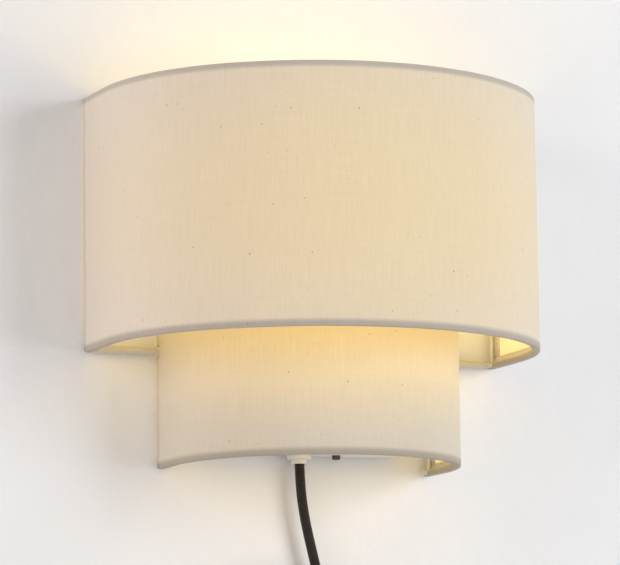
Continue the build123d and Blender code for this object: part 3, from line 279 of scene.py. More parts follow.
braid = group(
    "Braided sleeve",
    [("UV", "Vector", None), ("Carriers", "Float", 8.0), ("Pitch", "Float", 0.0034)],
    [("Strands", "Float"), ("Fuzz", "Float"), ("Height", "Float")],
    build_braid,
)


def material(name):
    made = bpy.data.materials.new(name)
    made.use_nodes = True
    return made, Shader(made.node_tree)


def principled(shader, links):
    return shader.node("ShaderNodeBsdfPrincipled", links)


def output(shader, surface):
    shader.node("ShaderNodeOutputMaterial", {"Surface": surface})


def bumped(shader, height, distance, strength=0.6):
    relief = {"Height": height, "Distance": distance, "Strength": strength}
    return shader.node("ShaderNodeBump", relief).outputs[0]


def distance_to(shader, place, point):
    """How far a surface point is from a fixed point of the lamp."""
    made = shader.node("ShaderNodeVectorMath", {0: place, 1: point}, operation="DISTANCE")
    return made.outputs["Value"]


def use_group(shader, tree, links):
    made = shader.tree.nodes.new("ShaderNodeGroup")
    made.node_tree = tree
    for name, value in links.items():
        socket = made.inputs[name]
        if isinstance(value, bpy.types.NodeSocket):
            shader.tree.links.new(value, socket)
        else:
            socket.default_value = value
    return made.outputs


# ---------------------------------------------------------------- materials
BULB_CENTRE = (0.0, LAMP_Y, 0.120)
# Painted glow: emission that stands in for the bulb's light shining through the cloth.
CLOTH_GLOW = (1.0, 0.66, 0.20)
# Painted glow of the bulb's light on the liner.
LINER_GLOW = (0.54, 0.385, 0.105)
CLOTH_PALE = (0.75, 0.695, 0.63)
CLOTH_DARK = (0.645, 0.59, 0.52)
CLOTH_CLOUD = (0.66, 0.595, 0.515)
# Painted light: a warm tint of the bulb's light, multiplied into the cloth's colour near the bulb.
PAINTED_BULB_LIGHT_TINT = (0.97, 0.88, 0.67)
# Painted shade: the hems are darkened where turned cloth and ring wire block the bulb's light from inside.
LOW_HEM_PAINTED_SHADE = (0.63, 0.61, 0.58)
HIGH_HEM_PAINTED_SHADE = (0.74, 0.72, 0.69)
# Painted shade along the folded back edges, by the wall.
BACK_FOLD_PAINTED_SHADE = (0.86, 0.85, 0.85)
FLECK = (0.20, 0.16, 0.08)
SLUB_RANGE = (0.3, 0.7)
# Where the painted shade of the hems and of the folded back edges turns to open cloth, measured from the
# tier's edge or from the wall
LOW_HEM_BAND = (2.0 * MM, 6.0 * MM)
HIGH_HEM_BAND = (5.5 * MM, 2.5 * MM)
BACK_FOLD_BAND = (-6.0 * MM, -3.6 * MM)
# Painted glow of the cloth, even far from the bulb.
FAR_GLOW = 0.012


def shade_cloth_material(name, tier, painted_shade_tint, painted_light_near, painted_light_far, painted_glow_strength):
    """Undyed cotton over a liner, with painted light from the bulb inside: a warm painted tint and an emitted
    painted glow where the bulb is near, and painted shade that greys the hems and the folded back edges.
    """
    made, shader = material(name)
    place = shader.node("ShaderNodeTexCoord")
    weave = use_group(shader, woven, {"UV": place.outputs["UV"]})
    tone = shader.ramp(weave["Slubs"], *SLUB_RANGE, smooth=False)
    plain = shader.mix(tone, CLOTH_DARK, CLOTH_PALE)
    # Painted shade: the tint darkens the tier's whole colour.
    plain = shader.mix(1.0, plain, painted_shade_tint, blend="MULTIPLY")
    plain = shader.mix(shader.math("MULTIPLY", weave["Cloud"], 0.2), plain, CLOTH_CLOUD)

    spot = shader.node("ShaderNodeSeparateXYZ", {0: place.outputs["Object"]})
    height = spot.outputs[2]
    low_hem = shader.ramp(height, tier["low"] + LOW_HEM_BAND[0], tier["low"] + LOW_HEM_BAND[1])
    high_hem = shader.ramp(height, tier["high"] - HIGH_HEM_BAND[0], tier["high"] - HIGH_HEM_BAND[1], 1.0, 0.0)
    open_cloth = shader.math("MULTIPLY", low_hem, high_hem)
    # Painted light: nearness to the bulb sets the warm painted tint and the painted glow, on open cloth only.
    away = distance_to(shader, place.outputs["Object"], BULB_CENTRE)
    near = shader.math("MULTIPLY", shader.ramp(away, painted_light_near, painted_light_far, 1.0, 0.0), open_cloth)
    painted_warm_colour = shader.mix(near, plain, PAINTED_BULB_LIGHT_TINT, blend="MULTIPLY")
    # Painted shade at both hems and along the folded back edges.
    painted_shade_colour = shader.mix(shader.math("SUBTRACT", 1.0, low_hem), painted_warm_colour, LOW_HEM_PAINTED_SHADE, blend="MULTIPLY")
    painted_shade_colour = shader.mix(shader.math("SUBTRACT", 1.0, high_hem), painted_shade_colour, HIGH_HEM_PAINTED_SHADE, blend="MULTIPLY")
    fold = shader.ramp(spot.outputs[1], *BACK_FOLD_BAND)
    painted_shade_colour = shader.mix(fold, painted_shade_colour, BACK_FOLD_PAINTED_SHADE, blend="MULTIPLY")
    colour = shader.mix(shader.math("MULTIPLY", weave["Flecks"], 0.75), painted_shade_colour, FLECK)

    # Painted glow: emission for the bulb's light through the cloth, weaker over dark slubs and flecks.
    painted_glow = shader.math("MULTIPLY_ADD", near, painted_glow_strength, FAR_GLOW)
    painted_glow = shader.math("MULTIPLY", painted_glow, shader.math("MULTIPLY_ADD", tone, 0.3, 0.85))
    painted_glow = shader.math("MULTIPLY", painted_glow, shader.math("MULTIPLY_ADD", weave["Flecks"], -0.7, 1.0))
    cloth = principled(
        shader,
        {
            "Base Color": colour,
            "Roughness": shader.math("MULTIPLY_ADD", weave["Slubs"], 0.2, 0.72),
            "Sheen Weight": 0.12,
            "Sheen Roughness": 0.5,
            "Specular IOR Level": 0.25,
            "Emission Color": shader.mix(painted_glow, (0.0, 0.0, 0.0), CLOTH_GLOW),
            "Emission Strength": 1.0,
            "Normal": bumped(shader, weave["Height"], 0.18 * MM, 0.4),
        },
    )
    output(shader, cloth.outputs[0])
    return made


ROUGHNESS_SWING = 0.08


def grained(name, colour, shade, roughness, metallic=0.0, scale=1500.0, bump=0.05 * MM, coat=0.0):
    """Plain moulded, painted or plated finish with a fine grain."""
    made, shader = material(name)
    place = shader.node("ShaderNodeTexCoord").outputs["Object"]
    surface = use_group(shader, grain, {"Place": place, "Grain scale": scale})
    mixed = shader.mix(shader.ramp(surface["Slow"], 0.3, 0.7), colour, shade)
    rough = shader.math("MULTIPLY_ADD", surface["Fine"], 2 * ROUGHNESS_SWING, roughness - ROUGHNESS_SWING)
    body = principled(
        shader,
        {
            "Base Color": mixed,
            "Roughness": rough,
            "Metallic": metallic,
            "Coat Weight": coat,
            "Normal": bumped(shader, surface["Fine"], bump),
        },
    )
    output(shader, body.outputs[0])
    return made


def bar_tape_material():
    """Cotton tape bound round the bars."""
    made, shader = material("Cotton tape")
    place = shader.node("ShaderNodeTexCoord")
    no_flecks = {"UV": place.outputs["UV"], "Threads per metre": 1300.0, "Fleck share": 0.0}
    weave = use_group(shader, woven, no_flecks)
    tone = shader.ramp(weave["Slubs"], *SLUB_RANGE, smooth=False)
    colour = shader.mix(tone, (0.60, 0.54, 0.44), (0.70, 0.65, 0.55))
    cloth = principled(
        shader,
        {
            "Base Color": colour,
            "Roughness": 0.86,
            "Specular IOR Level": 0.25,
            "Normal": bumped(shader, weave["Height"], 0.2 * MM, 0.5),
        },
    )
    output(shader, cloth.outputs[0])
    return made


def braided_material():
    """Black braided textile sleeve."""
    made, shader = material("Black braid")
    place = shader.node("ShaderNodeTexCoord")
    sleeve = use_group(shader, braid, {"UV": place.outputs["UV"]})
    colour = shader.mix(sleeve["Strands"], (0.006, 0.005, 0.004), (0.022, 0.017, 0.014))
    colour = shader.mix(shader.math("MULTIPLY", sleeve["Fuzz"], 0.25), colour, (0.040, 0.030, 0.026))
    cloth = principled(
        shader,
        {
            "Base Color": colour,
            "Roughness": 0.8,
            "Sheen Weight": 0.15,
            "Specular IOR Level": 0.3,
            "Normal": bumped(shader, sleeve["Height"], 0.35 * MM, 0.8),
        },
    )
    output(shader, cloth.outputs[0])
    return made


def liner_material():
    """Smooth styrene liner behind the cloth, with a painted glow of the bulb's light that is strongest beside
    the bulb.
    """
    made, shader = material("Liner sheet")
    place = shader.node("ShaderNodeTexCoord").outputs["Object"]
    surface = use_group(shader, grain, {"Place": place, "Grain scale": 900.0})
    mixed = shader.mix(shader.ramp(surface["Slow"], 0.3, 0.7), (0.86, 0.80, 0.68), (0.80, 0.73, 0.60))
    away = distance_to(shader, place, BULB_CENTRE)
    # Painted light: emission that stands in for the bulb's light on the liner.
    light = shader.mix(shader.ramp(away, 50 * MM, 220 * MM, 1.0, 0.6), (0.0, 0.0, 0.0), LINER_GLOW)
    sheet = principled(
        shader,
        {
            "Base Color": mixed,
            "Roughness": 0.55,
            "Specular IOR Level": 0.35,
            "Emission Color": light,
            "Emission Strength": 1.0,
            "Normal": bumped(shader, surface["Fine"], 0.04 * MM),
        },
    )
    output(shader, sheet.outputs[0])
    return made


def bulb_glass_material():
    """Opal glass with its light on. It casts no shadow of the light inside it."""
    made, shader = material("Lit opal glass")
    place = shader.node("ShaderNodeTexCoord").outputs["Object"]
    surface = use_group(shader, grain, {"Place": place, "Grain scale": 400.0})
    mixed = shader.mix(surface["Slow"], (0.95, 0.93, 0.88), (0.90, 0.87, 0.80))
    spot = shader.node("ShaderNodeSeparateXYZ", {0: place})
    lit = shader.ramp(spot.outputs[2], 96 * MM, 132 * MM, 0.25, 1.0)
    light = shader.mix(lit, (0.0, 0.0, 0.0), (1.0, 0.80, 0.48))
    glass = principled(
        shader,
        {
            "Base Color": mixed,
            "Roughness": 0.3,
            "Emission Color": light,
            "Emission Strength": 1.1,
            "Normal": bumped(shader, surface["Fine"], 0.02 * MM),
        },
    )
    clear = shader.node("ShaderNodeBsdfTransparent")
    ray = shader.node("ShaderNodeLightPath")
    choice = {0: ray.outputs["Is Shadow Ray"], 1: glass.outputs[0], 2: clear.outputs[0]}
    output(shader, shader.node("ShaderNodeMixShader", choice).outputs[0])
    return made


FINISHES = {
    "frame_wire": grained("Painted wire", (0.74, 0.71, 0.64), (0.66, 0.63, 0.56), 0.42, scale=1200.0),
    "box_paint": grained(
        "White box enamel", (0.83, 0.81, 0.77), (0.79, 0.77, 0.73), 0.38, scale=1100.0, bump=0.06 * MM
    ),
    "bracket_steel": grained(
        "Zinc plate", (0.60, 0.61, 0.63), (0.48, 0.49, 0.51), 0.36, metallic=1.0, scale=700.0
    ),
    "dark_screw": grained("Blackened screw", (0.10, 0.060, 0.035), (0.16, 0.10, 0.06), 0.45, metallic=0.6),
    "plated_steel": grained("Plated nut", (0.62, 0.62, 0.62), (0.50, 0.50, 0.50), 0.32, metallic=1.0),
    "white_nylon": grained("White nylon", (0.80, 0.78, 0.73), (0.74, 0.72, 0.67), 0.42),
    "core_insulation": grained("Pale core insulation", (0.70, 0.66, 0.58), (0.62, 0.58, 0.50), 0.45),
    "lead_insulation": grained("Black lead insulation", (0.03, 0.03, 0.03), (0.05, 0.05, 0.05), 0.45),
    "connector_plastic": grained("Wire connector plastic", (0.62, 0.36, 0.05), (0.52, 0.30, 0.04), 0.42),
    "arm_paint": grained("White arm enamel", (0.80, 0.79, 0.75), (0.75, 0.73, 0.69), 0.35),
    "holder_plastic": grained("Holder plastic", (0.78, 0.76, 0.71), (0.72, 0.70, 0.65), 0.45),
    "screw_shell": grained("Brass shell", (0.66, 0.48, 0.20), (0.56, 0.40, 0.16), 0.34, metallic=1.0),
    "bulb_cap_metal": grained("Bulb cap metal", (0.72, 0.72, 0.71), (0.62, 0.62, 0.61), 0.30, metallic=1.0),
    "bulb_tip": grained("Solder tip", (0.55, 0.50, 0.42), (0.42, 0.38, 0.32), 0.38, metallic=1.0),
    "tie_wrap": grained("Tie strap", (0.022, 0.022, 0.022), (0.040, 0.040, 0.040), 0.62),
    "switch_case": grained(
        "Black switch case", (0.020, 0.020, 0.020), (0.032, 0.032, 0.032), 0.42, scale=2200.0
    ),
    "rocker_plastic": grained("Black rocker", (0.018, 0.018, 0.018), (0.028, 0.028, 0.028), 0.24, coat=0.3),
    "plug_plastic": grained("Black plug", (0.022, 0.022, 0.022), (0.034, 0.034, 0.034), 0.48, scale=2200.0),
    "plug_brass": grained("Nickelled blades", (0.72, 0.68, 0.58), (0.64, 0.60, 0.50), 0.26, metallic=1.0),
    "shade_liner": liner_material(),
    "bulb_opal": bulb_glass_material(),
    "bar_cloth": bar_tape_material(),
    "braided_cord": braided_material(),
}

slot_of = {entry["node"]: entry["material_slot"] for entry in frame["record"]["subparts"]}
for node_name, node_object in nodes.items():
    finish = FINISHES.get(slot_of[node_name])
    if finish:
        for slot_index in range(len(node_object.material_slots)):
            node_object.material_slots[slot_index].material = finish


# ---------------------------------------------------------------- meshes
def mesh_object(name, points, faces, coordinates, finish):
    """Make an object from points and faces, with a UV for every point, in metres."""
    mesh = bpy.data.meshes.new(name)
    mesh.from_pydata(points, [], faces)
    layer = mesh.uv_layers.new(name="cloth")
    for loop in mesh.loops:
        layer.data[loop.index].uv = coordinates[loop.vertex_index]
    mesh.materials.append(finish)
    mesh.shade_smooth()
    made = bpy.data.objects.new(name, mesh)
    bpy.context.scene.collection.objects.link(made)
    return made


def applied(piece):
    """Turn a piece's modifiers, or a curve, into a plain mesh."""
    graph = bpy.context.evaluated_depsgraph_get()
    mesh = bpy.data.meshes.new_from_object(piece.evaluated_get(graph))
    made = bpy.data.objects.new(piece.name + "_mesh", mesh)
    bpy.context.scene.collection.objects.link(made)
    name = piece.name
    bpy.data.objects.remove(piece)
    made.name = name
    return made


def rounded(points, radii, step=0.35 * MM):
    """Points of an open outline in a plane with its inner corners rounded."""
    result = [Vector(points[0])]
    for before, here, after, radius in zip(points, points[1:], points[2:], radii):
        here = Vector(here)
        into = (Vector(before) - here).normalized()
        out = (Vector(after) - here).normalized()
        half = into.angle(out) / 2
        reach = radius / math.tan(half)
        centre = here + (into + out).normalized() * (radius / math.sin(half))
        first = here + into * reach
        last = here + out * reach
        start = first - centre
        turn = start.angle_signed(last - centre)
        count = max(2, int(abs(turn) * radius / step))
        for index in range(count + 1):
            rotated = start.copy()
            rotated.rotate(Matrix.Rotation(-turn * index / count, 2))
            result.append(centre + rotated)
    result.append(Vector(points[-1]))
    return result


def spaced(points, step=4 * MM):
    """The same outline with no two points further apart than step."""
    result = [points[0]]
    for before, here in zip(points, points[1:]):
        count = max(1, math.ceil((here - before).length / step))
        result += [before.lerp(here, index / count) for index in range(1, count + 1)]
    return result


SAME_PLACE = 0.001 * MM


def rim(tier, step=2.2 * MM):
    """The tier's plan from its left back edge round to its right: (point, outward way, length so far)."""
    half = tier["width"] / 2
    turn = math.radians(tier["turn"])
    along = math.cos(turn)
    across = math.sin(turn)
    side_radius = ((tier["depth"] - tier["side"]) * along - half * (1 - across)) / (along + across - 1)
    front_radius = (half - side_radius * (1 - along)) / along
    arcs = [
        (Vector((side_radius - half, -tier["side"])), side_radius, math.pi, math.pi + turn),
        (Vector((0, front_radius - tier["depth"])), front_radius, math.pi + turn, math.tau - turn),
        (Vector((half - side_radius, -tier["side"])), side_radius, math.tau - turn, math.tau),
    ]
    stations = [(Vector((-half, -WALL_GAP)), Vector((-1, 0)))]
    for centre, radius, start, end in arcs:
        count = math.ceil((end - start) * radius / step)
        for index in range(count + 1):
            angle = start + (end - start) * index / count
            way = Vector((math.cos(angle), math.sin(angle)))
            stations.append((centre + way * radius, way))
    stations.append((Vector((half, -WALL_GAP)), Vector((1, 0))))
    result = [(*stations[0], 0.0)]
    for point, way in stations[1:]:
        before, length = result[-1][0], result[-1][2]
        gap = (point - before).length
        if gap < SAME_PLACE:
            continue
        count = math.ceil(gap / (1.5 * step))
        for part in range(1, count + 1):
            share = part / count
            result.append((before.lerp(point, share), way, length + gap * share))
    return result


def hem_profile(tier):
    """A skin's cross-section, (inset, height), along the middle of the cloth."""
    inner = TURN_INSET + 2 * WIRE_RADIUS + WIRE_CLEARANCE + CLOTH / 2
    on_liner = TURN_INSET + CLOTH / 2
    roll = 2 * HEM_SEAT
    low = tier["low"]
    high = tier["high"]
    points = [
        (on_liner, low + HEM_TURN),
        (on_liner, low + roll),
        (inner, low + roll),
        (inner, low + CLOTH / 2),
        (CLOTH / 2, low + CLOTH / 2),
        (CLOTH / 2, high - CLOTH / 2),
        (inner, high - CLOTH / 2),
        (inner, high - roll),
        (on_liner, high - roll),
        (on_liner, high - HEM_TURN),
    ]
    fold = 0.55 * MM
    radii = [WIRE_RADIUS, WIRE_RADIUS, HEM_SEAT / 2, fold, fold, HEM_SEAT / 2, WIRE_RADIUS, WIRE_RADIUS]
    return spaced(rounded(points, radii))


GROOVE_DEPTH = 0.16 * MM
GROOVE_PLACE = 4.6 * MM
GROOVE_WIDTH = 0.7 * MM
EDGE_SINK = 0.18 * MM
EDGE_WIDTH = 0.9 * MM


def crease(distance):
    """How far the cloth sinks near its folded back edge: a shallow groove, and the turn of the edge."""
    groove = GROOVE_DEPTH * math.exp(-(((distance - GROOVE_PLACE) / GROOVE_WIDTH) ** 2))
    edge = EDGE_SINK * max(0.0, 1 - distance / EDGE_WIDTH) ** 2
    return groove + edge


def notched(piece, bar_z):
    """Open both back edges of a cloth where a bar passes: cut along three planes and take out the corner."""
    low = bar_z - BAR_NOTCH_HEIGHT / 2
    high = bar_z + BAR_NOTCH_HEIGHT / 2
    front_y = BAR_Y - BAR_WRAP_RADIUS
    cut = bmesh.new()
    cut.from_mesh(piece.data)
    for place, way in (((0, 0, low), (0, 0, 1)), ((0, 0, high), (0, 0, 1)), ((0, front_y, 0), (0, 1, 0))):
        bmesh.ops.bisect_plane(cut, geom=[*cut.verts, *cut.edges, *cut.faces], plane_co=place, plane_no=way)
    middles = [(face, face.calc_center_median()) for face in cut.faces]
    corner = [face for face, middle in middles if low < middle.z < high and middle.y > front_y]
    bmesh.ops.delete(cut, geom=corner, context="FACES")
    cut.to_mesh(piece.data)
    cut.free()


FINE_EDGE = 9 * MM  # how far in from the back edges the mesh is fine
FINE_PARTS = 6
HEM_SWELL = 0.16 * MM
FACE_UNEVENNESS = 0.05 * MM
HEM_WAVE = 0.10 * MM
FOLD_ROWS = 25
FOLD_PARTS = 6


def shade_cloth(name, tier, finish, passing_bar_z=None):
    """One cut of cloth wrapped round a tier: its face, both rolled hems and the turned back edges."""
    stations = rim(tier)
    profile = hem_profile(tier)
    lengths = [0.0]
    for before, here in zip(profile, profile[1:]):
        lengths.append(lengths[-1] + (here - before).length)
    total = stations[-1][2]
    middle = (tier["low"] + tier["high"]) / 2
    half_height = (tier["high"] - tier["low"]) / 2
    points = []
    coordinates = []
    faces = []

    def grid(columns, rows, flip=False):
        first = len(points) - columns * rows
        for column in range(columns - 1):
            for row in range(rows - 1):
                corner = first + column * rows + row
                quad = (corner, corner + rows, corner + rows + 1, corner + 1)
                faces.append(quad[::-1] if flip else quad)

    dense = []
    for (point, way, along), (ahead, ahead_way, ahead_along) in zip(stations, stations[1:]):
        parts = FINE_PARTS if min(along, total - along) < FINE_EDGE else 1
        for part in range(parts):
            share = part / parts
            lerped = along + (ahead_along - along) * share
            dense.append((point.lerp(ahead, share), way.lerp(ahead_way, share).normalized(), lerped))
    dense.append(stations[-1])
    for point, way, along in dense:
        sink = crease(min(along, total - along))
        for (inset, height), up in zip(profile, lengths):
            outside = inset < 1 * MM
            hem = max(0.0, abs(height - middle) - half_height + HEM_TURN)
            depth = inset
            if outside:
                swell = HEM_SWELL * math.sin(math.pi * min(1.0, hem / HEM_TURN))
                uneven = FACE_UNEVENNESS * noise.noise(Vector((along * 38, up * 26, tier["width"] * 9)))
                depth += sink - swell - uneven
            spot = point - way * depth
            wave = HEM_WAVE * noise.noise(Vector((along * 55, height * 2, tier["depth"] * 7)))
            points.append((spot.x, spot.y, height + (wave if hem > 0 else 0.0)))
            coordinates.append((along, up))
    grid(len(dense), len(profile))

    floor = tier["low"] + HEM_TURN - CLOTH
    ceiling = tier["high"] - HEM_TURN + CLOTH
    inner_inset = TURN_INSET + CLOTH / 2
    fold_y = -WALL_GAP - CLOTH / 2
    reach = BACK_TURN - WALL_GAP
    for mirror in (1, -1):
        # in along the liner's face, then round the back edge to the cloth's own face
        path = [Vector((inner_inset, fold_y - reach * (1 - part / FOLD_PARTS))) for part in range(FOLD_PARTS)]
        path += [
            Vector((inner_inset - 0.1 * MM, fold_y - 0.25 * MM)),
            Vector((inner_inset - 0.35 * MM, fold_y)),
            Vector((0.45 * MM, fold_y)),
            Vector((CLOTH / 2, fold_y - 0.3 * MM)),
        ]
        for index, spot in enumerate(path):
            for row in range(FOLD_ROWS):
                height = floor + (ceiling - floor) * row / (FOLD_ROWS - 1)
                x = spot.x - tier["width"] / 2
                points.append((x * mirror, spot.y, height))
                away = -BACK_TURN * (1 - index / len(path))
                coordinates.append((away if mirror > 0 else total - away, height))
        grid(len(path), FOLD_ROWS, flip=mirror < 0)

    piece = mesh_object(name, points, faces, coordinates, finish)
    area = sum(face.area for face in piece.data.polygons)
    if passing_bar_z is not None:
        notched(piece, passing_bar_z)
    thickness = piece.modifiers.new("Cloth thickness", "SOLIDIFY")
    thickness.thickness = CLOTH
    thickness.offset = 0.0
    piece = applied(piece)
    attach(piece, "root")
    return piece, (total + 2 * BACK_TURN, lengths[-1]), area


upper_finish = shade_cloth_material(
    "Undyed cotton, upper tier",
    UPPER,
    painted_shade_tint=(1.0, 1.0, 1.0),
    painted_light_near=85 * MM,
    painted_light_far=200 * MM,
    painted_glow_strength=0.15,
)
upper_cloth, flat, area = shade_cloth("upper_cloth", UPPER, upper_finish)
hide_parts("upper_fabric")

# The lower tier's colour is darkened as painted shade from the upper tier over it.
lower_finish = shade_cloth_material(
    "Undyed cotton, lower tier",
    LOWER,
    painted_shade_tint=(0.87, 0.87, 0.82),
    painted_light_near=80 * MM,
    painted_light_far=178 * MM,
    painted_glow_strength=0.26,
)
lower_cloth, flat, area = shade_cloth("lower_cloth", LOWER, lower_finish, passing_bar_z=lower_bar_z)
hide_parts("lower_fabric")


# ---------------------------------------------------------------- tape bound round the back bars
TAPE_RADIUS = 2.36 * MM
TAPE_PITCH = 9.5 * MM
TAPE_OVERLAP = 0.22  # of a turn
TAPE_LIFT = 0.26 * MM
TAPE_SLACK = 0.10 * MM
TAPE_RING_STEP = 0.8 * MM
TAPE_SIDES = 28
TAPE_END_TAPER = 3 * MM


def bound_bar(start_x, end_x, bar_z):
    """Points and faces of a bar bound with tape: a round sleeve with the step of each turn's overlap."""
    rings = math.ceil((end_x - start_x) / TAPE_RING_STEP)
    points = []
    coordinates = []
    faces = []
    for ring in range(rings + 1):
        x = start_x + (end_x - start_x) * ring / rings
        from_end = min(x - start_x, end_x - x)
        close = min(1.0, 0.75 + from_end / TAPE_END_TAPER)
        for side in range(TAPE_SIDES + 1):
            share = side / TAPE_SIDES
            angle = math.tau * share
            phase = ((x - start_x) / TAPE_PITCH + share) % 1.0
            step = max(0.0, 1.0 - phase / TAPE_OVERLAP)
            sag = TAPE_SLACK * noise.noise(Vector((x * 160, math.cos(angle) * 1.3, math.sin(angle) * 1.3)))
            radius = (TAPE_RADIUS + TAPE_LIFT * step + sag) * close
            points.append((x, BAR_Y + radius * math.cos(angle), bar_z + radius * math.sin(angle)))
            coordinates.append((x * 0.8 + share * TAPE_PITCH, angle * 2.4 * MM))
    row = TAPE_SIDES + 1
    for ring in range(rings):
        for side in range(TAPE_SIDES):
            corner = ring * row + side
            faces.append((corner, corner + row, corner + row + 1, corner + 1))
    return points, coordinates, faces


bar_end_x = UPPER["width"] / 2 - BAR_CORNER
sleeve_start_x = LOWER["width"] / 2 + 1 * MM
bar_points = []
bar_coordinates = []
bar_faces = []
for start_x, end_x, bar_z in (
    (-bar_end_x, bar_end_x, upper_bar_z),
    (-bar_end_x, -sleeve_start_x, lower_bar_z),
    (sleeve_start_x, bar_end_x, lower_bar_z),
):
    new_points, new_coordinates, new_faces = bound_bar(start_x, end_x, bar_z)
    bar_faces += [tuple(corner + len(bar_points) for corner in face) for face in new_faces]
    bar_points += new_points
    bar_coordinates += new_coordinates
bar_tape = mesh_object("bar_tape", bar_points, bar_faces, bar_coordinates, FINISHES["bar_cloth"])
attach(bar_tape, "root")
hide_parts("bar_wraps")

# ---------------------------------------------------------------- cord
# The same route as the CAD tube's: down from the grip, then round the coil's turns
cord_y = -10 * MM
coil_x = -27 * MM
coil_z = -167 * MM
coil_inner = 24.5 * MM
cord_pitch = 6.85 * MM
inward_turns = 3
coil_entry_x = coil_x + coil_inner + inward_turns * cord_pitch
coil_exit_x = coil_entry_x + cord_pitch
front_y = cord_y - cord_pitch
cord_route = [
    (-0.0015, cord_y, -0.016),
    (-0.0015, cord_y, -0.042),
    (0.0010, cord_y, -0.068),
    (0.0079, cord_y, -0.098),
    (0.0146, cord_y, -0.124),
    (coil_entry_x, cord_y, -0.147),
]
TURN_POINTS = 24
switch_top_z = -0.201
switch_bottom_z = -0.263
plug_top_z = -0.293
plug_grip_z = plug_top_z - 0.006
cord_sink = 0.005  # into the switch, at either end
coil_lead = 0.012  # straight down into the switch
end_lead = 0.008  # straight out of the switch, and into the plug


def coil_points():
    """Points round the coil: in next to the wall, across, and out again in front of it."""
    points = []
    spread = 1 / math.cos(math.pi / TURN_POINTS) ** 0.5  # because the spline runs inside its points
    total_turns = 2 * inward_turns + 1
    for index in range(total_turns * TURN_POINTS + 1):
        turn = index / TURN_POINTS
        angle = math.tau * (turn % 1)
        inward = turn <= inward_turns
        level = abs(int(turn) - inward_turns)
        centre_x = coil_x
        if angle >= math.pi:
            half_turn = -0.5 if inward else 0.5
            level += half_turn
            centre_x += half_turn * cord_pitch
        radius = (coil_inner + level * cord_pitch) * spread
        y = cord_y if inward else front_y
        if inward_turns < turn < inward_turns + 0.5:
            share = (turn - inward_turns) * 2
            y = cord_y + (front_y - cord_y) * (3 * share**2 - 2 * share**3)
        points.append((centre_x + radius * math.cos(angle), y, coil_z - radius * math.sin(angle)))
    return points


def nurbs(name, points):
    """One smooth open spline with these control points, as a curve object."""
    curve = bpy.data.curves.new(name, "CURVE")
    curve.dimensions = "3D"
    curve.resolution_u = 6
    spline = curve.splines.new("NURBS")
    spline.points.add(len(points) - 1)
    for spot, point in zip(spline.points, points):
        spot.co = (*point, 1.0)
    spline.order_u = 3
    spline.use_endpoint_u = True
    made = bpy.data.objects.new(name, curve)
    bpy.context.scene.collection.objects.link(made)
    return made


def spline_points(route):
    """Points read along a curve that has no bevel."""
    graph = bpy.context.evaluated_depsgraph_get()
    mesh = bpy.data.meshes.new_from_object(route.evaluated_get(graph))
    points = [vertex.co.copy() for vertex in mesh.vertices]
    bpy.data.meshes.remove(mesh)
    return points


def cord_tube(name, route_points, sides=20):
    """A braided tube along a NURBS route, with its UV in turns round it and in metres along it."""
    radius = CORD_DIAMETER / 2
    route = nurbs(name + "_route", route_points)
    path = spline_points(route)
    bpy.data.objects.remove(route)
    points = []
    coordinates = []
    faces = []
    side_way = Vector((0, 1, 0))
    along = 0.0
    for index, spot in enumerate(path):
        if index:
            along += (spot - path[index - 1]).length
        ahead = (path[min(index + 1, len(path) - 1)] - path[max(index - 1, 0)]).normalized()
        side_way = (side_way - ahead * side_way.dot(ahead)).normalized()
        other_way = ahead.cross(side_way)
        for side in range(sides + 1):
            angle = math.tau * side / sides
            points.append(spot + (side_way * math.cos(angle) + other_way * math.sin(angle)) * radius)
            coordinates.append((side / sides, along))
    row = sides + 1
    for index in range(len(path) - 1):
        for side in range(sides):
            corner = index * row + side
            faces.append((corner, corner + 1, corner + row + 1, corner + row))
    for end, spot in ((0, path[0]), (len(path) - 1, path[-1])):
        points.append(spot.copy())
        coordinates.append((0.5, 0.0 if end == 0 else along))
        for side in range(sides):
            corner = end * row + side
            tip = (len(points) - 1, corner + 1, corner)
            faces.append(tip if end == 0 else tip[::-1])
    piece = mesh_object(name, points, faces, coordinates, FINISHES["braided_cord"])
    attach(piece, "root")
    return piece, path, along


main_route = [
    *cord_route,
    *coil_points(),
    (coil_exit_x, front_y, switch_top_z + coil_lead),
    (coil_exit_x, front_y, switch_top_z - cord_sink),
]
main_cord, main_path, main_length = cord_tube("braided_main_cord", main_route)
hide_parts("mains_cord", "cord_coil", "cord_tail")

end_route = [
    (coil_exit_x, front_y, switch_bottom_z + cord_sink),
    (coil_exit_x, front_y, switch_bottom_z - end_lead),
    (coil_exit_x, front_y, plug_top_z + end_lead),
    (coil_exit_x, front_y, plug_grip_z),
]
end_cord, end_path, end_length = cord_tube("braided_end_cord", end_route)
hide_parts("cord_end")


# ---------------------------------------------------------------- wall, floor, lights and camera
def stage_material(name, colour, mottle):
    """Pale plaster that isn't there from behind."""
    made, shader = material(name)
    place = shader.node("ShaderNodeTexCoord").outputs["Object"]
    slow_field = {"Vector": place, "Scale": 5.0, "Detail": 4.0, "Roughness": 0.55}
    cloud = shader.node("ShaderNodeTexNoise", slow_field)
    trowel_field = {"Vector": place, "Scale": 22.0, "Detail": 5.0, "Roughness": 0.6}
    trowel = shader.node("ShaderNodeTexNoise", trowel_field)
    tone = shader.ramp(cloud.outputs["Fac"], 0.35, 0.65)
    mixed = shader.mix(tone, colour, tuple(channel * mottle for channel in colour))
    plaster = principled(
        shader,
        {
            "Base Color": mixed,
            "Roughness": 0.9,
            "Specular IOR Level": 0.1,
            "Normal": bumped(shader, trowel.outputs["Fac"], 6 * MM, 0.25),
        },
    )
    clear = shader.node("ShaderNodeBsdfTransparent")
    behind = shader.node("ShaderNodeNewGeometry").outputs["Backfacing"]
    both = shader.node("ShaderNodeMixShader", {0: behind, 1: plaster.outputs[0], 2: clear.outputs[0]})
    output(shader, both.outputs[0])
    return made


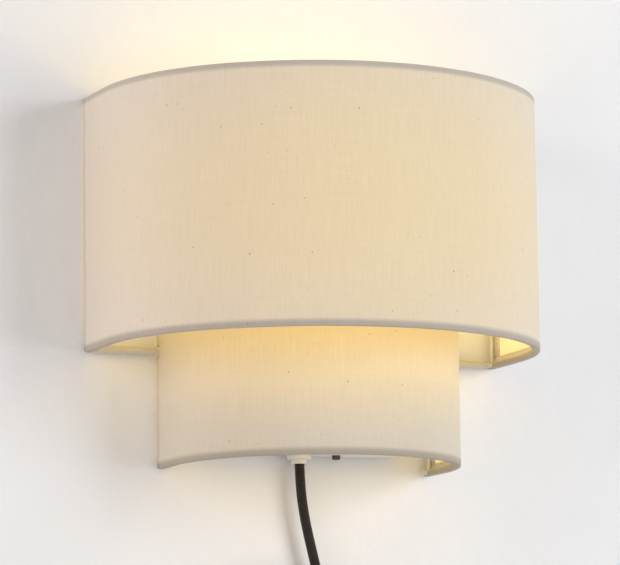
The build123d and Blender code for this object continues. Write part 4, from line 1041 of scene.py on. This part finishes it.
def stage_plane(name, corners, finish, opening=()):
    """A flat backdrop of four corners, with an opening of four more where it would darken what it backs."""
    mesh = bpy.data.meshes.new(name)
    faces = [range(4)]
    if opening:
        faces = [(side, (side + 1) % 4, 4 + (side + 1) % 4, 4 + side) for side in range(4)]
    mesh.from_pydata([*corners, *opening], [], faces)
    mesh.materials.append(finish)
    made = bpy.data.objects.new(name, mesh)
    bpy.context.scene.collection.objects.link(made)
    return made


wall_finish = stage_material("Wall plaster", (0.85, 0.85, 0.85), 0.97)
floor_finish = stage_material("Pale floor", (0.85, 0.85, 0.85), 0.99)
wall_y = 0.4 * MM
floor_z = -0.46
half_span = 2.2
wall_top = 1.6
floor_front = -3.0
box_low, box_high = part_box("back_box")
covered = 1.5 * MM
behind_low = (box_low[0] + covered, box_low[2] + covered)
behind_high = (box_high[0] - covered, box_high[2] - covered)
stage_plane(
    "wall",
    [
        (-half_span, wall_y, floor_z),
        (half_span, wall_y, floor_z),
        (half_span, wall_y, wall_top),
        (-half_span, wall_y, wall_top),
    ],
    wall_finish,
    opening=[
        (behind_low[0], wall_y, behind_low[1]),
        (behind_high[0], wall_y, behind_low[1]),
        (behind_high[0], wall_y, behind_high[1]),
        (behind_low[0], wall_y, behind_high[1]),
    ],
)
stage_plane(
    "floor",
    [
        (-half_span, floor_front, floor_z),
        (half_span, floor_front, floor_z),
        (half_span, wall_y, floor_z),
        (-half_span, wall_y, floor_z),
    ],
    floor_finish,
)


def lamp(name, kind, place, energy, colour, aim=None, **settings):
    data = bpy.data.lights.new(name, kind)
    data.energy = energy
    data.color = colour
    for key, value in settings.items():
        setattr(data, key, value)
    made = bpy.data.objects.new(name, data)
    made.location = place
    if aim is not None:
        made.rotation_euler = (Vector(aim) - Vector(place)).to_track_quat("-Z", "Y").to_euler()
    bpy.context.scene.collection.objects.link(made)
    return made


LAMP_AIM = (0.0, -0.05, 0.05)
lamp(
    "window",
    "AREA",
    (1.5, -1.8, 0.25),
    30.0,
    (0.94, 0.95, 1.0),
    aim=LAMP_AIM,
    shape="RECTANGLE",
    size=1.1,
    size_y=1.1,
)
lamp(
    "far_window",
    "AREA",
    (-1.95, -0.8, 0.35),
    18.0,
    (1.0, 0.89, 0.86),
    aim=(-0.1, -0.1, 0.08),
    shape="RECTANGLE",
    size=1.2,
    size_y=1.2,
)
lamp("bulb_light", "POINT", (0.0, LAMP_Y, 0.085), 0.66, (1.0, 0.76, 0.18), shadow_soft_size=28 * MM)

world = bpy.data.worlds.new("Room")
bpy.context.scene.world = world
world.use_nodes = True
room = Shader(world.node_tree)
sky = room.node("ShaderNodeBackground", {"Color": (0.98, 1.0, 0.98, 1.0), "Strength": 0.34})
room.node("ShaderNodeOutputWorld", {"Surface": sky.outputs[0]})

# The photo's viewpoint: to the left and a little below, looking up
yaw = 0.4136274
pitch = 0.1506849
roll = -0.0143402
camera_place = (-0.96604, -2.22999, -0.27882)
focal_pixels = 3590.26
image_width = 620
sensor = 36.0
forward = Vector((math.sin(yaw) * math.cos(pitch), math.cos(yaw) * math.cos(pitch), math.sin(pitch)))
level_right = Vector((math.cos(yaw), -math.sin(yaw), 0.0))
level_up = level_right.cross(forward)
right = level_right * math.cos(roll) + level_up * math.sin(roll)
up = level_up * math.cos(roll) - level_right * math.sin(roll)
camera_data = bpy.data.cameras.new("photo camera")
camera_data.sensor_fit = "HORIZONTAL"
camera_data.sensor_width = sensor
camera_data.lens = focal_pixels / image_width * sensor
camera_data.clip_end = 50.0
camera = bpy.data.objects.new("photo camera", camera_data)
turned = Matrix((right, up, -forward)).transposed().to_4x4()
camera.matrix_world = Matrix.Translation(Vector(camera_place)) @ turned
bpy.context.scene.collection.objects.link(camera)
bpy.context.scene.camera = camera
bpy.context.scene.view_settings.view_transform = "Standard"
